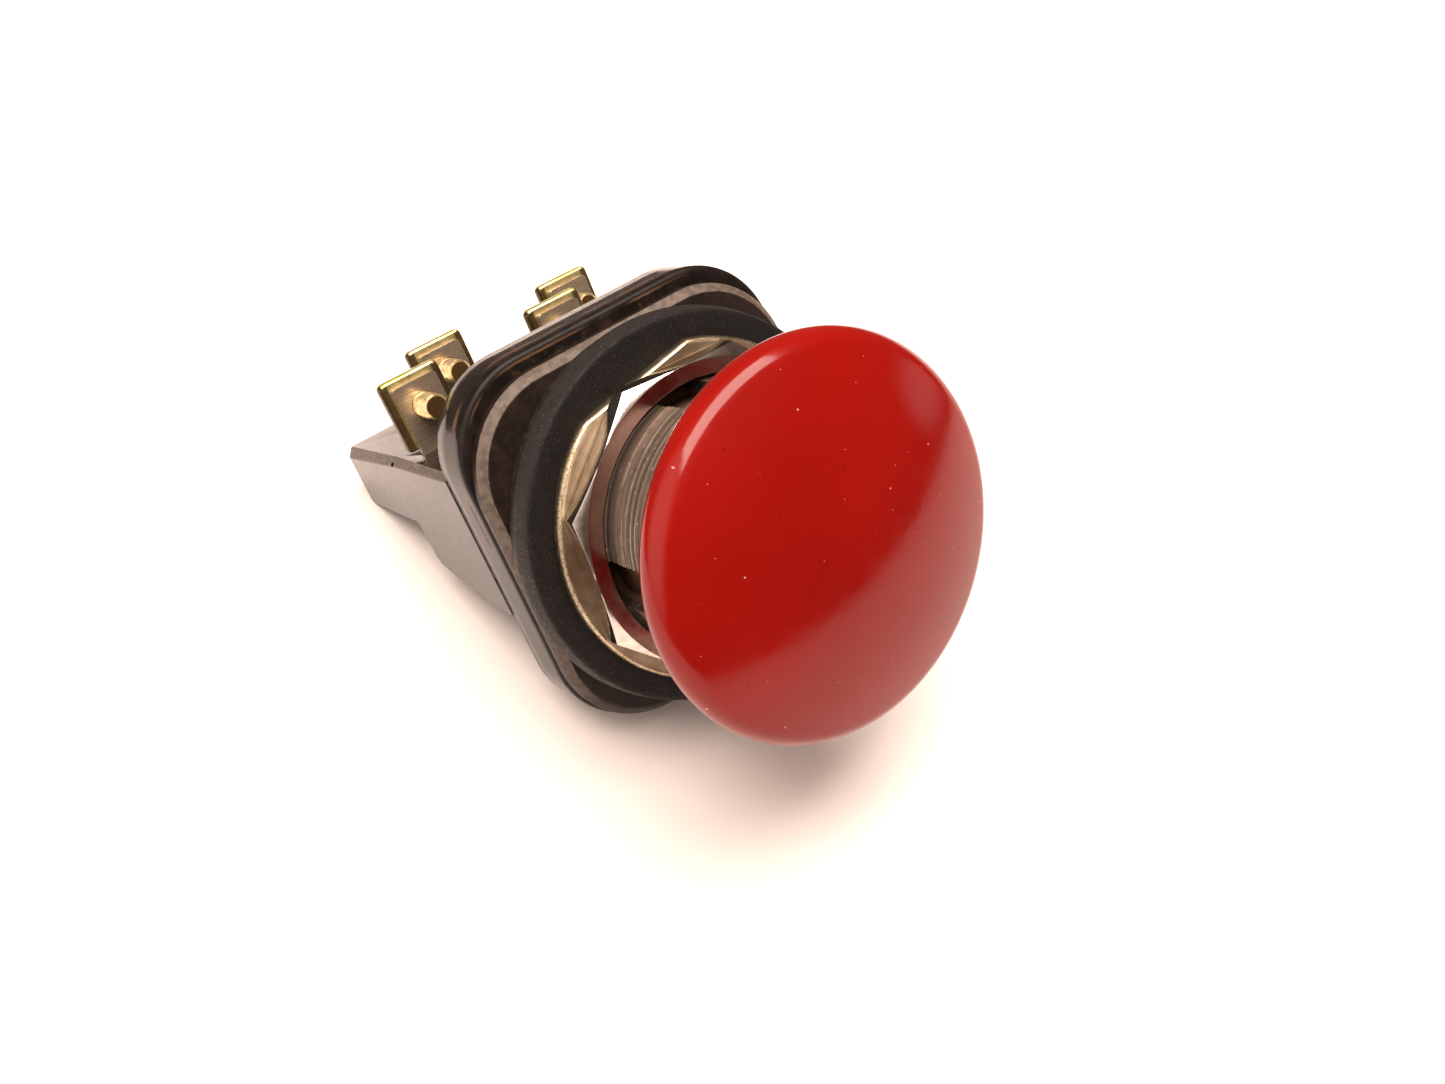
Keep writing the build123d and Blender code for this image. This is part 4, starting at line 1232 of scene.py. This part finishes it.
strip("terminal_strip_front_left", "front_terminal_left", -16.0, FT_Y, 11.4, [(-13.6, 12.4), (-13.6, 7.2), (-5.6, 7.2), (-5.6, 11.4), (-12.0, 11.4), (-13.2, 12.4)], [(-19.2, 11.0), (-14.1, 11.0), (-14.1, 12.9), (-19.2, 12.9)])
strip("terminal_strip_front_right", "front_terminal_right", 4.2, FT_Y, 11.8, [(5.6, 12.2), (5.6, 7.2), (12.0, 7.2), (12.0, 11.2), (7.0, 12.2)])
strip("terminal_strip_rear_left", "rear_terminal_left", -8.2, RT_Y, 11.2, [(-12.0, 7.2), (-5.6, 7.2), (-5.6, 11.4), (-12.0, 11.4)])
strip("terminal_strip_rear_right", "rear_terminal_right", 11.4, RT_Y, 11.2, [(5.6, 7.2), (13.6, 7.2), (13.6, 11.4), (5.6, 11.4)])

clamps, tscrews = [], []
for x, y in [(q, FT_Y) for q in FT_X] + [(q, RT_Y) for q in RT_X]:
    c = prism_y("clamp", rounded([(x - 3.84, 14.42), (x + 3.84, 14.42), (x + 3.84, 22.98), (x - 3.84, 22.98)], [0.5, 0.5, 0.7, 0.7], 4), y + 1.03, y + 2.51)
    cut(c, [prism_y("t", [(x + 1.8 * cos(2 * pi * k / 40), 19.0 + 1.8 * sin(2 * pi * k / 40)) for k in range(40)], y, y + 4)])
    soften(c, 0.58, 6, 35)
    give(c, CLAMP)
    clamps.append(c)
    s = machine_screw("ts", x, 19.0, y - 3.68, y + 2.53, y + 4.80, 1.54, 3.18, 0.62, ((7.0, 0.9), (0.9, 3.8)), depth=1.0, dome=0.5, tip=0.45)
    for p in s:
        give(p, SCREW)
    tscrews += s
clamps = join("clamp_plates", clamps)
# painted highlight on the clamps' up-facing faces and painted shade on their side flanks
facing(clamps, lambda n: 0.5 + 0.5 * n.z if n.z > abs(n.x) else 0.5 - 0.5 * max(0.0, -n.x, 0.8 * n.x))
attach(clamps, "operator")
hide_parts("terminal_clamps")
tscrews = join("clamp_screws", tscrews)
# painted shade on the screw tips' end faces, which face the front
facing(tscrews, lambda n: 0.0 if n.y < -0.8 else 0.5)
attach(tscrews, "operator")
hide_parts("terminal_screws")

# springs in the block
sp = coil("plunger_return_spring", 0, 9.2, 34.04, 47.16, 1.6, 0.55, 13, 1.2, 28, 10)
give(sp, SPRING)
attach(sp, "operator")
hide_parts("contact_spring")
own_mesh(sp)

# the small spring between the plunger and the open bridge: a flat-closing cone of fine wire
bs, n_w = [], 8
for i in range(97):
    t = i / 96
    a, rr, yy = 2 * pi * 3 * t, 0.58 + 0.52 * t, 28.96 + 1.66 * t
    d = Vector((-sin(a), 0.10, cos(a))).normalized()
    out_r = Vector((cos(a), 0.0, sin(a)))
    side = d.cross(out_r).normalized()
    bs.append([tuple(Vector((rr * cos(a), yy, 9.4 + rr * sin(a))) + out_r * (0.10 * cos(2 * pi * k / n_w)) + side * (0.10 * sin(2 * pi * k / n_w))) for k in range(n_w)])
bs = rings("open_bridge_spring", bs, closed=False, cap_start=True, cap_end=True, sharp=50)
give(bs, SPRING)
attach(bs, "open_contact")
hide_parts("bridge_spring")
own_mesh(bs)

# carried-over CAD nodes inside the block
for node, m in (
    ("contact_plunger", NYLON_W), ("closed_bridge", COPPER), ("closed_bridge_tips", SILVER), ("open_bridge", COPPER),
    ("open_bridge_tips", SILVER), ("fixed_contact_tips", SILVER),
):
    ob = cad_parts[node]
    if ob.data.materials:
        for i in range(len(ob.data.materials)):
            ob.data.materials[i] = m
    else:
        ob.data.materials.append(m)

# ---------------------------------------------------------------- stage
TILT = radians(35.5)
UP = Vector((0, -sin(TILT), cos(TILT)))
FOOT = Vector((0, 14.05, -21.43)) * MM
ALONG = Vector((0, cos(TILT), sin(TILT)))
ACROSS = Vector((1, 0, 0))

bm = bmesh.new()
bmesh.ops.create_grid(bm, x_segments=12, y_segments=12, size=1.0)
for v in bm.verts:
    across = -0.30 + 0.80 * (v.co.x + 1) / 2
    along = -0.62 + 0.715 * (v.co.y + 1) / 2
    v.co = FOOT + ACROSS * across + ALONG * along
me = bpy.data.meshes.new("floor")
bm.to_mesh(me)
bm.free()
floor_ob = add("floor", me)
if floor_ob.data.polygons[0].normal.dot(UP) < 0:
    me.flip_normals()
F = Mat("paper", (0.86, 0.85, 0.84), rough=0.85, spec=0.2)
F.set(F.mix(F.span(F.noise(0.02, 3), 0.3, 0.7), (0.865, 0.795, 0.750), (0.845, 0.770, 0.726)))
tr = F.t.nodes.new("ShaderNodeBsdfTransparent")
mx = F.t.nodes.new("ShaderNodeMixShader")
geo = F.t.nodes.new("ShaderNodeNewGeometry")
F.t.links.new(geo.outputs["Backfacing"], mx.inputs[0])
F.t.links.new(F.b.outputs[0], mx.inputs[1])
F.t.links.new(tr.outputs[0], mx.inputs[2])
F.t.links.new(mx.outputs[0], F.out.inputs[0])
give(floor_ob, F.m)

world = bpy.data.worlds.new("studio")
scene.world = world
world.use_nodes = True
wt = world.node_tree
wt.nodes.clear()
wo = wt.nodes.new("ShaderNodeOutputWorld")
bg = wt.nodes.new("ShaderNodeBackground")
bg2 = wt.nodes.new("ShaderNodeBackground")
lp = wt.nodes.new("ShaderNodeLightPath")
wm = wt.nodes.new("ShaderNodeMixShader")
tcw = wt.nodes.new("ShaderNodeTexCoord")
def world_lobe(direction, inner, outer, strength, colour):
    """A soft patch of light round a direction in the floor's frame; inner and outer are degrees from it."""
    d = (ACROSS * direction[0] + ALONG * direction[1] + UP * direction[2]).normalized()
    dot = wt.nodes.new("ShaderNodeVectorMath")
    dot.operation = "DOT_PRODUCT"
    dot.inputs[1].default_value = d
    wt.links.new(tcw.outputs["Generated"], dot.inputs[0])
    rng = wt.nodes.new("ShaderNodeMapRange")
    rng.interpolation_type = "SMOOTHSTEP"
    rng.inputs[1].default_value = cos(radians(outer))
    rng.inputs[2].default_value = cos(radians(inner))
    rng.inputs[3].default_value = 0.0
    rng.inputs[4].default_value = strength
    wt.links.new(dot.outputs["Value"], rng.inputs[0])
    sc = wt.nodes.new("ShaderNodeVectorMath")
    sc.operation = "SCALE"
    sc.inputs[0].default_value = colour
    wt.links.new(rng.outputs[0], sc.inputs["Scale"])
    return sc.outputs["Vector"]


total = None
for lobe in (
    ((0, 0, 1), 0, 180, 0.0, (1, 1, 1)),
    ((-0.88, 0.14, 0.46), 10, 50, 1.6, (1.0, 0.88, 0.80)),
    ((0.92, -0.40, 0.12), 2, 9, 0.8, (1.0, 0.97, 0.94)),
    ((0.0, -0.2, -1.0), 40, 80, 0.5, (1.0, 0.93, 0.88)),
    ((0.0, 0.0, 1.0), 10, 55, 0.5, (1.0, 0.84, 0.76)),
    ((0.1, 0.95, 0.25), 15, 70, 0.06, (1.0, 0.80, 0.66)),
):
    out = world_lobe(*lobe)
    if total is None:
        total = out
    else:
        ad = wt.nodes.new("ShaderNodeVectorMath")
        ad.operation = "ADD"
        wt.links.new(total, ad.inputs[0])
        wt.links.new(out, ad.inputs[1])
        total = ad.outputs["Vector"]
ad = wt.nodes.new("ShaderNodeVectorMath")
ad.operation = "ADD"
wt.links.new(total, ad.inputs[0])
ad.inputs[1].default_value = (0.15, 0.098, 0.078)
wt.links.new(ad.outputs["Vector"], bg.inputs[0])
bg.inputs[1].default_value = 1.0
bg2.inputs[0].default_value = (1, 1, 1, 1)
bg2.inputs[1].default_value = 1.05
wt.links.new(lp.outputs["Is Camera Ray"], wm.inputs[0])
wt.links.new(bg.outputs[0], wm.inputs[1])
wt.links.new(bg2.outputs[0], wm.inputs[2])
wt.links.new(wm.outputs[0], wo.inputs[0])


def lamp(name, direction, distance, size, size_y, power, color, target=(0, 0.005, 0)):
    """A soft rectangular light; direction is (right, along the floor away from the camera, up) in the floor's frame."""
    d = (ACROSS * direction[0] + ALONG * direction[1] + UP * direction[2]).normalized()
    li = bpy.data.lights.new(name, "AREA")
    li.shape = "RECTANGLE"
    li.size, li.size_y = size, size_y
    li.energy = power
    li.color = color
    ob = bpy.data.objects.new(name, li)
    scene.collection.objects.link(ob)
    ob.location = Vector(target) + d * distance
    ob.rotation_mode = "QUATERNION"
    ob.rotation_quaternion = (-d).to_track_quat("-Z", "Y")
    return ob


lamp("ceiling_light", (0.05, 0.05, 1.0), 0.75, 0.78, 0.50, 13.7, (1.0, 0.87, 0.78))

cam_data = bpy.data.cameras.new("camera")
cam_data.lens = 28.97
cam_data.sensor_width = 36.0
cam_data.clip_start = 0.005
cam_data.clip_end = 10.0
cam = bpy.data.objects.new("camera", cam_data)
scene.collection.objects.link(cam)
R3, U3, F3 = Vector((0.7554, -0.5601, -0.3401)), Vector((0.5051, 0.1670, 0.8468)), Vector((0.4175, 0.8114, -0.4090))
F3.normalize()
R3 = (R3 - F3 * R3.dot(F3)).normalized()
U3 = R3.cross(F3)
rot = Matrix((R3, U3, -F3)).transposed()
cam.matrix_world = Matrix.Translation(Vector((-0.05402, -0.10510, 0.04870))) @ rot.to_4x4()
scene.camera = cam

bpy.context.view_layer.update()
